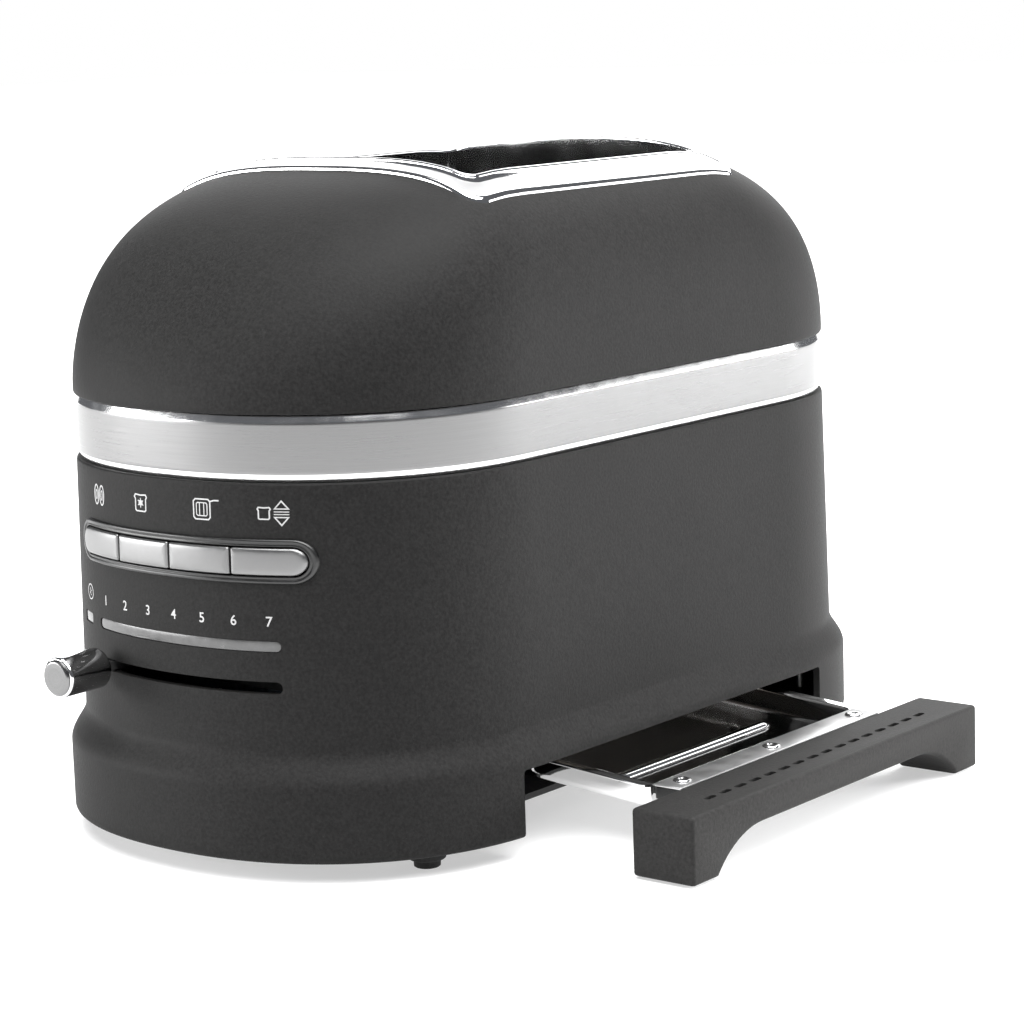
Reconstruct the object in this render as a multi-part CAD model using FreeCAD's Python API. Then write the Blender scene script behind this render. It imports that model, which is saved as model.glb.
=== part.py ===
import FreeCAD, Part
import math
import os

# Two-slice pop-up toaster with a motor lift, a shade slider and a crumb tray that slides out of one side.
# Frame: +Z up, z = 0 under the feet, origin at the plan centre of the body.
# The control face looks along -Y, the crumb tray leaves through the +X side.
# Every length is in millimetres and every angle in degrees.

V = FreeCAD.Vector
X = V(1, 0, 0)
Y = V(0, 1, 0)
Z = V(0, 0, 1)

# ---- driving dimensions -------------------------------------------------------------------------
# plan outline of the skirt and how far the body steps in above it
base_half_width = 88.0
base_half_length = 155.0
base_end_depth = 84.0
flare_side_inset = 3.9
flare_end_inset = 5.6
draft_side_inset = 1.2
draft_end_inset = 1.6
outline_power = 2.22
outline_steps = 9

# heights
skirt_bottom = 6.5
flare_bottom = 29.5
flare_height = 11.5
flare_steps = 5
band_bottom = 123.0
band_height = 20.7
dome_height = 73.1

# walls and general clearances
housing_wall = 2.5
dome_wall = 3.0
sheet = 1.0
slide_gap = 0.3
fit_gap = 0.1
run_gap = 0.06

# trim band
band_inset = 0.7
band_chamfer = 2.4
band_chamfer_inset = 1.0
band_wall = 3.5

# dome profile exponents
side_rise = 3.43
side_round = 3.06
end_rise = 1.5
end_round = 3.32
crown_power = 2.76
dome_stations = (0, 12, 24, 36, 47, 57, 65, 72, 78, 82)

# bread opening and its polished frame
opening_half_width = 55.5
opening_half_length = 62.0
opening_corner = 5.0
frame_side = 10.5
frame_end = 10.0
frame_corner = 7.0
frame_proud = 1.3
liner_proud = 2.0
liner_bottom = 188.0
liner_wall = 1.2

# toasting chamber
chamber_bottom = 50.0
chamber_side_gap = 22.0
slot_centre = 32.0
slot_half_width = 20.0
wire_diameter = 2.2
guard_wires = 7
guard_bottom = 72.0
guard_top = 184.0
guard_travel = 8.0
guard_margin = 8.0
card_thickness = 1.5
card_bottom = 66.0
card_height = 108.0
card_standoff = 4.0
element_turns = 11
element_thickness = 0.4
element_height = 3.0
element_margin = 8.0
bridge_half_width = 9.0
bridge_depth = 10.0

# bread lift
rack_level = 150.0
rack_height = 8.0
rack_thickness = 3.0
rack_prongs = 6
rack_margin = 8.0
prong_margin = 16.0
prong_reach = 9.0
lift_travel = 78.0
rod_diameter = 5.0
rod_spacing = 46.0
rod_distance = 20.0
carriage_thickness = 7.0
carriage_height = 16.0
screw_diameter = 8.0
screw_distance = 37.0
nut_half_width = 8.0
motor_radius = 15.0
motor_height = 38.0
motor_ear = 5.0
bracket_clearance = 20.0
bracket_thickness = 3.0
bracket_flange = 5.0

# control panel on the front face
button_level = 99.3
button_height = 8.4
button_row_middle = 2.5
button_row_half = 47.0
button_gap = 0.6
button_count = 4
button_proud = 1.7
button_depth = 6.0
button_travel = 1.5
stem_half_width = 4.0
bezel_margin = 2.6
bezel_lip = 1.1
bezel_proud = 1.0
bezel_depth = 5.0
panel_window_left = -36.4
panel_window_right = 40.6
display_level = 73.0
display_height = 3.6
window_recess = 0.2
window_flange = 1.5
lamp_left = -50.0
lamp_width = 7.2
lamp_height = 3.6
slot_level = 60.2
slot_height = 3.8
board_distance = 30.0
board_half_width = 50.0
board_bottom = 50.0
board_top = 112.0
board_thickness = 1.6
board_leg = 6.0
mat_thickness = 2.0
pad_height = 1.2
track_depth = 7.0
track_height = 11.0
track_floor = 2.0
track_end = 1.0
track_rim = 2.0

# shade lever
lever_half_width = 3.0
lever_height = 3.0
lever_end_gap = 1.9
knob_gap = 0.5
knob_diameter = 13.0
knob_length = 15.0
knob_edge = 0.6
cap_diameter = 11.6
cap_thickness = 1.0

# crumb tray
tray_slope = 4.5
tray_travel = 62.6
tray_mouth_half = 84.3
tray_mouth_top = 28.2
handle_half_length = 84.0
handle_depth = 22.8
handle_height = 21.4
handle_proud = 0.4
handle_floor_gap = 0.8
handle_clearance = 1.2
handle_leg = 13.4
arch_run = 24.6
arch_height = 11.5
handle_edge = 1.2
vent_count = 15
vent_pitch = 8.6
vent_length = 5.6
vent_width = 1.8
vent_depth = 6.0
vent_setback = 9.3
ledge_depth = 10.0
ledge_thickness = 4.0
ledge_root = 1.2
pan_half_width = 57.6
pan_lip = 3.6
pan_length = 116.0
pan_depth = 9.0
pan_sheet = 0.8
rib_radius = 2.2
rib_count = 3
rib_pitch = 32.48
rib_half_length = 44.0
rivet_spacing = 50.0
rivet_diameter = 3.0
rivet_head = 6.0
rail_height = 5.0

# base, feet and fasteners
plate_bottom = 8.5
plate_thickness = 2.0
foot_x = 66.0
foot_y = 107.0
foot_diameter = 12.0
foot_step = 8.6
foot_step_height = 2.6
post_x = 57.0
post_y = 118.0
post_diameter = 9.0
post_reach = 16.0
post_web = 3.0
tie_diameter = 3.4
tie_head = 6.4
tie_head_height = 1.6
tie_top = 158.0

# mains entry and power board at the rear
gland_level = 19.5
gland_diameter = 13.0
gland_flange = 2.0
cord_bore = 7.0
power_board_y = 90.0
power_half_width = 42.0
power_bottom = 34.0
power_top = 104.0
relay_size = 18.0
relay_lift = 9.0
coil_size = 26.0

# ---- values worked out from the dimensions above --------------------------------------------------
band_top = band_bottom + band_height
dome_top = band_top + dome_height
above = dome_top + dome_height
flare_top = flare_bottom + flare_height
plate_top = plate_bottom + plate_thickness
plate_y = opening_half_length
chamber_half_width = base_half_width - chamber_side_gap
card_offset = chamber_half_width - card_standoff
rod_y = -(opening_half_length + rod_distance)
screw_y = -(opening_half_length + screw_distance)
front_y = -(base_half_length - flare_end_inset)
far_front = -2 * base_half_length
board_y = front_y + board_distance
slot_inner = slot_centre - slot_half_width
slot_outer = slot_centre + slot_half_width
lever_x = panel_window_left + lever_end_gap + lever_half_width
slope = math.radians(tray_slope)
handle_outer = base_half_width + handle_proud + tray_travel * math.cos(slope)
handle_inner = handle_outer - handle_depth
handle_top = handle_floor_gap + handle_height
stowed_x = handle_inner - tray_travel * math.cos(slope) - handle_clearance
stowed_top = tray_mouth_top + handle_clearance
bracket_z = guard_top - bracket_clearance
pan_front = handle_inner - ledge_depth - slide_gap
rivet_x = handle_inner - ledge_depth / 2
rivet_places = (-rivet_spacing, 0, rivet_spacing)
button_pitch = 2 * button_row_half / button_count
row_left = button_row_middle - button_row_half
row_right = button_row_middle + button_row_half


# ---- shape helpers ----------------------------------------------------------------------------------
def box(x0, x1, y0, y1, z0, z1):
    """Box between two corners."""
    return Part.makeBox(x1 - x0, y1 - y0, z1 - z0, V(x0, y0, z0))


def rod(radius, start, direction, length):
    """Cylinder from a start point along a direction."""
    return Part.makeCylinder(radius, length, start, direction)


def fuse(shapes):
    """One solid from touching pieces."""
    shapes = list(shapes)
    return shapes[0].multiFuse(shapes[1:]).removeSplitter()


def group(shapes):
    """Several separate solids that share one node."""
    return Part.makeCompound(list(shapes))


def outline(half_width, half_length, end_depth, power, z):
    """Closed plan outline: straight sides that run into rounded ends."""
    quarter = []
    for i in range(outline_steps + 1):
        angle = math.pi / 2 * i / outline_steps
        across = half_width * math.sin(angle) ** (2 / power)
        along = end_depth * math.cos(angle) ** (2 / power)
        quarter.append((across, half_length - end_depth + along))
    flat = half_length - end_depth
    side = [(half_width, flat / 2), (half_width, 0.0), (half_width, -flat / 2)]
    right = quarter + side + [(x, -y) for x, y in reversed(quarter)]
    left = [(-x, y) for x, y in reversed(right[1:-1])]
    curve = Part.BSplineCurve()
    curve.interpolate(Points=[V(x, y, z) for x, y in right + left], PeriodicFlag=True)
    return Part.Wire([curve.toShape()])


def housing_size(z):
    """Half width, half length and end depth of the lower housing at a height."""
    rise = min(max((z - flare_bottom) / flare_height, 0.0), 1.0)
    step = rise * rise * (3 - 2 * rise)
    lean = max((z - flare_top) / (band_bottom - flare_top), 0.0)
    side = flare_side_inset * step + draft_side_inset * lean
    end = flare_end_inset * step + draft_end_inset * lean
    return base_half_width - side, base_half_length - end, base_end_depth - side


def housing_block(z0, z1, extra):
    """Solid of the lower housing's outline between two heights, grown by an extra all round."""
    stops = [z0, z1] + [flare_bottom + flare_height * i / flare_steps for i in range(flare_steps + 1)]
    wires = []
    for z in sorted({z for z in stops if z0 <= z <= z1}):
        width, length, depth = housing_size(z)
        wires.append(outline(width + extra, length + extra, depth + extra, outline_power, z))
    return Part.makeLoft(wires, True, True)


def dome_block(extra):
    """Solid under the dome's surface, grown by an extra all round; its tip is cut flat."""
    width, length, depth = housing_size(band_bottom)
    wires = []
    for angle in dome_stations:
        rise = math.sin(math.radians(angle))
        half_width = (width + extra) * (1 - rise ** side_rise) ** (1 / side_round)
        half_length = (length + extra) * (1 - rise ** end_rise) ** (1 / end_round)
        end_depth = (depth + extra) * half_length / (length + extra)
        power = outline_power + (crown_power - outline_power) * rise
        z = band_top + (dome_height + extra) * rise
        wires.append(outline(half_width, half_length, end_depth, power, z))
    return Part.makeLoft(wires, True, False)


def rounded_prism(half_x, half_y, corner, z0, z1):
    """Upright prism with rounded corners."""
    prism = box(-half_x, half_x, -half_y, half_y, z0, z1)
    upright = [e for e in prism.Edges if abs(e.tangentAt(e.FirstParameter).z) > 0.9]
    return prism.makeFillet(corner, upright)


def pill(x0, x1, level, height, y0, y1):
    """Round-ended bar that runs along X and is extruded along Y."""
    radius = height / 2
    middle = box(x0 + radius, x1 - radius, y0, y1, level - radius, level + radius)
    ends = [rod(radius, V(x, y0, level), Y, y1 - y0) for x in (x0 + radius, x1 - radius)]
    return fuse([middle] + ends)


def front_layer(outer, inner):
    """The slice of the front wall between two offsets of its outer face."""
    z0 = slot_level - track_height
    z1 = band_bottom - fit_gap
    layer = housing_block(z0, z1, outer).cut(housing_block(z0, z1, inner))
    return layer.common(box(-base_half_width, base_half_width, far_front, 0, z0, z1))


def standing_board(half_width, y0, low, high):
    """Circuit board across the body on two legs that stand on the base plate."""
    y1 = y0 + board_thickness
    legs = [box(x, x + board_leg, y0, y1, plate_top, low) for x in (-half_width, half_width - board_leg)]
    return fuse([box(-half_width, half_width, y0, y1, low, high)] + legs)


def tilt(shape, x, z):
    """Lean a level piece so that it climbs inwards with the crumb tray's slope."""
    return shape.rotated(V(x, 0, z), Y, tray_slope)


# ---- outer shells -----------------------------------------------------------------------------------
def post(x, y, z0, z1, shell):
    """Screw post with a web that ties it to the shell beside it."""
    angle = math.atan2(y, x)
    web = box(0, post_reach, -post_web / 2, post_web / 2, z0, z1)
    web.rotate(V(0, 0, 0), Z, math.degrees(angle))
    web.translate(V(x, y, 0))
    return fuse([rod(post_diameter / 2, V(x, y, z0), Z, z1 - z0), web]).common(shell)


def post_places():
    """Plan positions of the four screw posts."""
    return [(sx * post_x, sy * post_y) for sx in (-1, 1) for sy in (-1, 1)]


def front_cut(shape):
    """Cut the panel's openings through a shape that has the front wall."""
    margin = bezel_margin - bezel_lip + fit_gap
    row = pill(row_left - margin, row_right + margin, button_level, button_height + 2 * margin,
               far_front, board_y)
    display = pill(panel_window_left, panel_window_right, display_level, display_height, far_front,
                   board_y)
    slot = pill(panel_window_left, panel_window_right, slot_level, slot_height, far_front, board_y)
    lamp = box(lamp_left, lamp_left + lamp_width, far_front, board_y,
               display_level - lamp_height / 2, display_level + lamp_height / 2)
    return shape.cut(row).cut(display).cut(slot).cut(lamp)


def lower_housing():
    """Cast body below the band, with the flared skirt, the tray mouth and the panel's openings."""
    solid = housing_block(skirt_bottom, band_bottom, 0)
    shell = solid.cut(housing_block(skirt_bottom, band_bottom, -housing_wall))
    mouth = box(chamber_half_width, 2 * base_half_width, -tray_mouth_half, tray_mouth_half,
                0, tray_mouth_top)
    shell = front_cut(shell.cut(mouth))
    posts = [post(x, y, plate_top, band_bottom, solid) for x, y in post_places()]
    shell = fuse([shell] + posts)
    for x, y in post_places():
        shell = shell.cut(rod(tie_diameter / 2 + fit_gap, V(x, y, 0), Z, band_bottom))
    return shell.cut(rod(gland_diameter / 2 - gland_flange, V(0, 0, gland_level), Y, 2 * base_half_length))


def trim_band():
    """Metal band between housing and dome, with a chamfer along both edges."""
    width, length, depth = housing_size(band_bottom)
    stops = [(band_bottom, band_chamfer_inset), (band_bottom + band_chamfer, 0),
             (band_top - band_chamfer, 0), (band_top, band_chamfer_inset)]
    wires = []
    for z, inset in stops:
        inset += band_inset
        wires.append(outline(width - inset, length - inset, depth - inset, outline_power, z))
    inset = band_inset + band_wall
    bore = [outline(width - inset, length - inset, depth - inset, outline_power, z)
            for z in (band_bottom, band_top)]
    return Part.makeLoft(wires, True, True).cut(Part.makeLoft(bore, True, True))


def dome_shell():
    """Cast dome with the bread opening and four screw posts."""
    solid = dome_block(0)
    hollow = dome_block(-dome_wall)
    posts = [post(x, y, band_bottom, dome_top, solid) for x, y in post_places()]
    shell = fuse([solid.cut(hollow)] + posts)
    for x, y in post_places():
        shell = shell.cut(rod(tie_diameter / 2, V(x, y, band_bottom), Z, tie_top - band_bottom))
    edge = liner_wall + fit_gap
    hole = rounded_prism(opening_half_width + edge, opening_half_length + edge, opening_corner,
                         band_top, above)
    return shell.cut(hole)


def top_surround():
    """Polished frame that lies on the dome around the bread opening."""
    outer = rounded_prism(opening_half_width + frame_side, opening_half_length + frame_end, frame_corner,
                          band_top, above)
    inner = rounded_prism(opening_half_width + liner_wall, opening_half_length + liner_wall, opening_corner,
                          band_top, above)
    return dome_block(frame_proud).common(outer).cut(dome_block(0)).cut(inner)


def slot_liner():
    """Polished lip that lines the bread opening from the frame down to the chamber."""
    outer = rounded_prism(opening_half_width + liner_wall, opening_half_length + liner_wall, opening_corner,
                          liner_bottom, above)
    inner = rounded_prism(opening_half_width, opening_half_length, opening_corner - liner_wall,
                          liner_bottom, above)
    return outer.cut(inner).common(dome_block(liner_proud))


# ---- base -------------------------------------------------------------------------------------------
def foot_places():
    """Plan positions of the four feet."""
    return [(sx * foot_x, sy * foot_y) for sx in (-1, 1) for sy in (-1, 1)]


def base_plate():
    """Bottom cover inside the skirt."""
    plate = housing_block(plate_bottom, plate_top, -housing_wall - slide_gap)
    plate = plate.cut(box(stowed_x, base_half_width, -tray_mouth_half, tray_mouth_half, 0, band_bottom))
    for x, y in post_places():
        plate = plate.cut(rod(tie_diameter / 2 + fit_gap, V(x, y, 0), Z, band_bottom))
    return plate


def rubber_feet():
    """Four stepped feet under the base plate."""
    feet = []
    for x, y in foot_places():
        step = rod(foot_step / 2, V(x, y, 0), Z, foot_step_height)
        pad = rod(foot_diameter / 2, V(x, y, foot_step_height), Z, plate_bottom - foot_step_height)
        feet.append(fuse([step, pad]))
    return group(feet)


def tie_screws():
    """Four long screws from the base plate up into the dome's posts."""
    screws = []
    for x, y in post_places():
        head = rod(tie_head / 2, V(x, y, plate_bottom - tie_head_height), Z, tie_head_height)
        shank = rod(tie_diameter / 2, V(x, y, plate_bottom), Z, tie_top - plate_bottom)
        screws.append(fuse([head, shank]))
    return group(screws)


def cord_gland():
    """Bush in the rear wall where the mains lead enters."""
    y = base_half_length - housing_wall
    bush = rod(gland_diameter / 2 - gland_flange, V(0, y - gland_flange, gland_level), Y,
               housing_wall + 2 * gland_flange)
    flange = rod(gland_diameter / 2, V(0, base_half_length, gland_level), Y, gland_flange)
    inner = rod(gland_diameter / 2, V(0, y - 2 * gland_flange, gland_level), Y, gland_flange)
    bore = rod(cord_bore / 2, V(0, y - 3 * gland_flange, gland_level), Y, base_half_length)
    return fuse([bush, flange, inner]).cut(bore)


# ---- toasting chamber -------------------------------------------------------------------------------
def chamber_end(side):
    """End plate of the chamber; the front one has the slots for the bread racks' arms."""
    y0 = plate_y if side > 0 else -plate_y - sheet
    y1 = y0 + sheet
    plate = box(-chamber_half_width, chamber_half_width, y0, y1, plate_top, liner_bottom)
    plate = plate.cut(box(stowed_x, chamber_half_width, y0, y1, plate_top, stowed_top))
    reach = guard_travel + wire_diameter / 2 + slide_gap
    rest = wire_diameter / 2 + slide_gap
    for sign in (-1, 1):
        for x, low, high in ((slot_inner, rest, reach), (slot_outer, reach, rest)):
            x0, x1 = sorted((sign * (x - low), sign * (x + high)))
            for z in (guard_bottom, guard_top):
                plate = plate.cut(box(x0, x1, y0, y1, z - rest, z + rest))
        if side < 0:
            half = rack_thickness / 2 + slide_gap
            low, high = rack_level - lift_travel - slide_gap, rack_level + rack_height + slide_gap
            plate = plate.cut(box(sign * slot_centre - half, sign * slot_centre + half, y0, y1, low, high))
    return plate


def reflector(sign):
    """Bright side sheet behind an outer heater."""
    x0, x1 = sorted((sign * chamber_half_width, sign * (chamber_half_width - sheet)))
    return box(x0, x1, -plate_y, plate_y, chamber_bottom, liner_bottom)


def heater_card(x):
    """Mica card that spans the chamber between the end plates."""
    half = card_thickness / 2
    return box(x - half, x + half, -plate_y, plate_y, card_bottom, card_bottom + card_height)


def heater_elements():
    """Flat heating ribbon: one run per turn on both faces of each card."""
    runs = []
    pitch = card_height / element_turns
    for x in (-card_offset, 0.0, card_offset):
        for face in (-1, 1):
            near = x + face * card_thickness / 2
            x0, x1 = sorted((near, near + face * element_thickness))
            for i in range(element_turns):
                z = card_bottom + pitch * (i + 0.5)
                runs.append(box(x0, x1, -plate_y + element_margin, plate_y - element_margin,
                                z - element_height / 2, z + element_height / 2))
    return group(runs)


def centre_bridge():
    """Folded cap over the centre heater, below the rim between the two slots."""
    z1 = liner_bottom
    outer = box(-bridge_half_width, bridge_half_width, -plate_y, plate_y, z1 - bridge_depth, z1)
    inner = box(-bridge_half_width + sheet, bridge_half_width - sheet, -plate_y, plate_y,
                z1 - bridge_depth, z1 - sheet)
    return outer.cut(inner)


def bread_guard(x):
    """Wire guard: upright wires between two rails whose ends run in the end plates."""
    radius = wire_diameter / 2
    reach = plate_y + sheet + wire_diameter
    rails = [rod(radius, V(x, -reach, z), Y, 2 * reach) for z in (guard_bottom, guard_top)]
    span = 2 * (plate_y - guard_margin)
    wires = []
    for i in range(guard_wires):
        y = -span / 2 + span * i / (guard_wires - 1)
        wires.append(rod(radius, V(x, y, guard_bottom), Z, guard_top - guard_bottom))
    return fuse(rails + wires)


# ---- bread lift -------------------------------------------------------------------------------------
def bread_rack(x):
    """Bar with cross prongs that carries one slice; its arm passes the front end plate."""
    half = rack_thickness / 2
    start = rod_y + carriage_thickness / 2
    bar = box(x - half, x + half, start, plate_y - rack_margin, rack_level, rack_level + rack_height)
    span = 2 * (plate_y - prong_margin)
    prongs = []
    for i in range(rack_prongs):
        y = -span / 2 + span * i / (rack_prongs - 1)
        prongs.append(box(x - prong_reach, x + prong_reach, y - half, y + half,
                          rack_level + rack_height - rack_thickness, rack_level + rack_height))
    return fuse([bar] + prongs)


def lift_carriage():
    """Cross-piece on two guide rods, with the nut for the lead screw."""
    half = carriage_thickness / 2
    z0 = rack_level - (carriage_height - rack_height) / 2
    reach = rod_spacing + rod_diameter
    bar = box(-reach, reach, rod_y - half, rod_y + half, z0, z0 + carriage_height)
    arm = box(-nut_half_width, nut_half_width, screw_y - nut_half_width, rod_y - half,
              z0, z0 + carriage_height)
    body = fuse([bar, arm])
    for x in (-rod_spacing, rod_spacing):
        body = body.cut(rod(rod_diameter / 2 + run_gap, V(x, rod_y, z0), Z, carriage_height))
    return body.cut(rod(screw_diameter / 2 + run_gap, V(0, screw_y, z0), Z, carriage_height))


def guide_rods():
    """Two upright rods between base plate and top bracket."""
    length = bracket_z + bracket_thickness - plate_top
    places = [V(x, rod_y, plate_top) for x in (-rod_spacing, rod_spacing)]
    return group(rod(rod_diameter / 2, place, Z, length) for place in places)


def top_bracket():
    """Bracket on the front end plate that holds the rods and the screw's upper end."""
    reach = rod_spacing + rod_diameter
    z1 = bracket_z + bracket_thickness
    plate = box(-reach, reach, screw_y - nut_half_width, -plate_y - sheet - bracket_thickness, bracket_z, z1)
    flange = box(-reach, reach, -plate_y - sheet - bracket_thickness, -plate_y - sheet,
                 bracket_z - bracket_flange, z1)
    body = fuse([plate, flange])
    for x in (-rod_spacing, rod_spacing):
        body = body.cut(rod(rod_diameter / 2, V(x, rod_y, bracket_z), Z, bracket_thickness))
    return body.cut(rod(screw_diameter / 2 + run_gap, V(0, screw_y, bracket_z), Z, bracket_thickness))


def lift_motor():
    """Geared motor that stands on the base plate under the lead screw."""
    can = rod(motor_radius, V(0, screw_y, plate_top), Z, motor_height)
    flange = box(-motor_radius - motor_ear, motor_radius + motor_ear, screw_y - motor_ear,
                 screw_y + motor_ear, plate_top, plate_top + bracket_thickness)
    return fuse([can, flange])


def lead_screw():
    """Coarse screw from the motor to the top bracket."""
    z0 = plate_top + motor_height + slide_gap
    return rod(screw_diameter / 2, V(0, screw_y, z0), Z, bracket_z + bracket_thickness - z0)


# ---- control panel ----------------------------------------------------------------------------------
def button_bezel():
    """Ring around the button row: a flange on the wall and a sleeve through it."""
    outer = pill(row_left - bezel_margin, row_right + bezel_margin, button_level,
                 button_height + 2 * bezel_margin, far_front, board_y)
    sleeve_margin = bezel_margin - bezel_lip
    sleeve = pill(row_left - sleeve_margin, row_right + sleeve_margin, button_level,
                  button_height + 2 * sleeve_margin, far_front, board_y)
    bore = pill(row_left - slide_gap, row_right + slide_gap, button_level,
                button_height + 2 * slide_gap, far_front, board_y)
    flange = front_layer(bezel_proud, 0).common(outer)
    tube = front_layer(0, -bezel_depth).common(sleeve)
    return fuse([flange, tube]).cut(bore)


def push_button(index):
    """One key of the row, curved with the wall, with a stem towards the switch mat."""
    x0 = row_left + button_pitch * index
    x1 = x0 + button_pitch
    row = pill(row_left, row_right, button_level, button_height, far_front, board_y)
    gap = button_gap / 2
    column = box(x0 + gap, x1 - gap, far_front, board_y,
                 button_level - button_height, button_level + button_height)
    cap = front_layer(button_proud, -button_depth).common(row).common(column)
    middle = (x0 + x1) / 2
    tip = board_y - mat_thickness - pad_height - button_travel - slide_gap
    stem = box(middle - stem_half_width, middle + stem_half_width, far_front, tip,
               button_level - stem_half_width / 2, button_level + stem_half_width / 2)
    behind = housing_block(button_level - button_height, button_level + button_height, -button_depth / 2)
    return fuse([cap, stem.common(behind)])


def panel_window(shape):
    """Lens that fills an opening of the front wall, held by a flange behind the wall."""
    return front_layer(-window_recess, -housing_wall).common(shape)


def display_window():
    """Long lens of the countdown lamp row."""
    inner = pill(panel_window_left + fit_gap, panel_window_right - fit_gap, display_level,
                 display_height - 2 * fit_gap, far_front, 0)
    outer = pill(panel_window_left - window_flange, panel_window_right + window_flange, display_level,
                 display_height + 2 * window_flange, far_front, 0)
    flange = front_layer(-housing_wall, -housing_wall - sheet).common(outer)
    return fuse([panel_window(inner), flange])


def lamp_window():
    """Small square lens of the keep-warm lamp."""
    x1 = lamp_left + lamp_width
    half = lamp_height / 2
    inner = box(lamp_left + fit_gap, x1 - fit_gap, far_front, 0, display_level - half + fit_gap,
                display_level + half - fit_gap)
    outer = box(lamp_left - window_flange, x1 + window_flange, far_front, 0,
                display_level - half - window_flange, display_level + half + window_flange)
    flange = front_layer(-housing_wall, -housing_wall - sheet).common(outer)
    return fuse([panel_window(inner), flange])


def control_board():
    """Circuit board behind the panel, on two legs that stand on the base plate."""
    return standing_board(board_half_width, board_y, board_bottom, board_top)


def switch_mat():
    """Rubber mat on the board with one pad behind each button."""
    inset = button_height / 2
    half = button_height
    mat = box(row_left + inset, row_right - inset, board_y - mat_thickness, board_y,
              button_level - half, button_level + half)
    pad_y = board_y - mat_thickness - pad_height
    places = [V(row_left + button_pitch * (i + 0.5), pad_y, button_level) for i in range(button_count)]
    pads = [rod(stem_half_width, place, Y, pad_height) for place in places]
    return fuse([mat] + pads)


def slider_track():
    """Slide control on the board behind the shade slot, open towards the lever."""
    x0 = panel_window_left
    x1 = panel_window_right
    body = box(x0 - track_rim, x1 + track_rim, board_y - track_depth, board_y,
               slot_level - track_height / 2, slot_level + track_height / 2)
    groove = box(x0 + track_end, x1 - track_end, board_y - track_depth, board_y - track_floor,
                 slot_level - lever_height / 2 - slide_gap, slot_level + lever_height / 2 + slide_gap)
    return body.cut(groove)


def knob_face():
    """Y of the knob's inner face: clear of the wall over the whole travel."""
    return -housing_size(slot_level)[1] - knob_gap


def shade_lever():
    """Flat arm from the slide control through the slot into the knob."""
    half = lever_height / 2
    inner = board_y - track_floor - slide_gap
    return box(lever_x - lever_half_width, lever_x + lever_half_width, knob_face(), inner,
               slot_level - half, slot_level + half)


def shade_knob():
    """Round knob on the lever's end."""
    body = rod(knob_diameter / 2, V(lever_x, knob_face() - knob_length, slot_level), Y, knob_length)
    rim = [e for e in body.Edges if e.Closed]
    return body.makeFillet(knob_edge, rim)


def knob_cap():
    """Bright disc on the knob's outer face."""
    y0 = knob_face() - knob_length - cap_thickness
    disc = rod(cap_diameter / 2, V(lever_x, y0, slot_level), Y, cap_thickness)
    edge = [e for e in disc.Edges if e.Closed and abs(e.CenterOfMass.y - y0) < fit_gap]
    return disc.makeChamfer(cap_thickness / 2, edge)


# ---- crumb tray -------------------------------------------------------------------------------------
def tray_handle():
    """Handle bar with an arch beneath, a row of vents on top and a ledge for the pan."""
    z0 = handle_floor_gap
    half = handle_half_length
    leg = half - handle_leg
    flat = leg - arch_run
    radius = (arch_run ** 2 + arch_height ** 2) / (2 * arch_height)
    points = []
    for sign in (-1, 1):
        angle = math.asin(arch_run / radius) / 2
        middle = V(handle_inner, sign * (flat + radius * math.sin(angle)),
                   z0 + arch_height - radius * (1 - math.cos(angle)))
        crown = V(handle_inner, sign * flat, z0 + arch_height)
        points.append((V(handle_inner, sign * leg, z0), middle, crown))
    left, right = points
    corners = [V(handle_inner, -half, z0), V(handle_inner, half, z0),
               V(handle_inner, half, handle_top), V(handle_inner, -half, handle_top)]
    edges = [Part.LineSegment(corners[0], left[0]), Part.Arc(*left), Part.LineSegment(left[2], right[2]),
             Part.Arc(right[2], right[1], right[0]), Part.LineSegment(right[0], corners[1]),
             Part.LineSegment(corners[1], corners[2]), Part.LineSegment(corners[2], corners[3]),
             Part.LineSegment(corners[3], corners[0])]
    bar = Part.Face(Part.Wire([e.toShape() for e in edges])).extrude(X * handle_depth)
    ridge = [e for e in bar.Edges if e.BoundBox.ZMin > handle_top - fit_gap or
             (e.BoundBox.XLength < fit_gap and e.BoundBox.YLength < fit_gap)]
    bar = bar.makeFillet(handle_edge, ridge)
    vent_x = handle_outer - vent_setback
    for i in range(vent_count):
        y = (i - (vent_count - 1) / 2) * vent_pitch
        bar = bar.cut(box(vent_x - vent_width / 2, vent_x + vent_width / 2, y - vent_length / 2,
                          y + vent_length / 2, handle_top - vent_depth, handle_top))
    top = handle_top - pan_sheet
    ledge = box(handle_inner - ledge_depth, handle_inner + ledge_root, -pan_half_width, pan_half_width,
                top - ledge_thickness, top)
    body = fuse([bar, ledge.cut(box(handle_inner, handle_outer, -half, half, z0, top - ledge_thickness))])
    for y in rivet_places:
        body = body.cut(rod(rivet_diameter / 2, V(rivet_x, y, top - ledge_thickness), Z, ledge_thickness))
    return body


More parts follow.
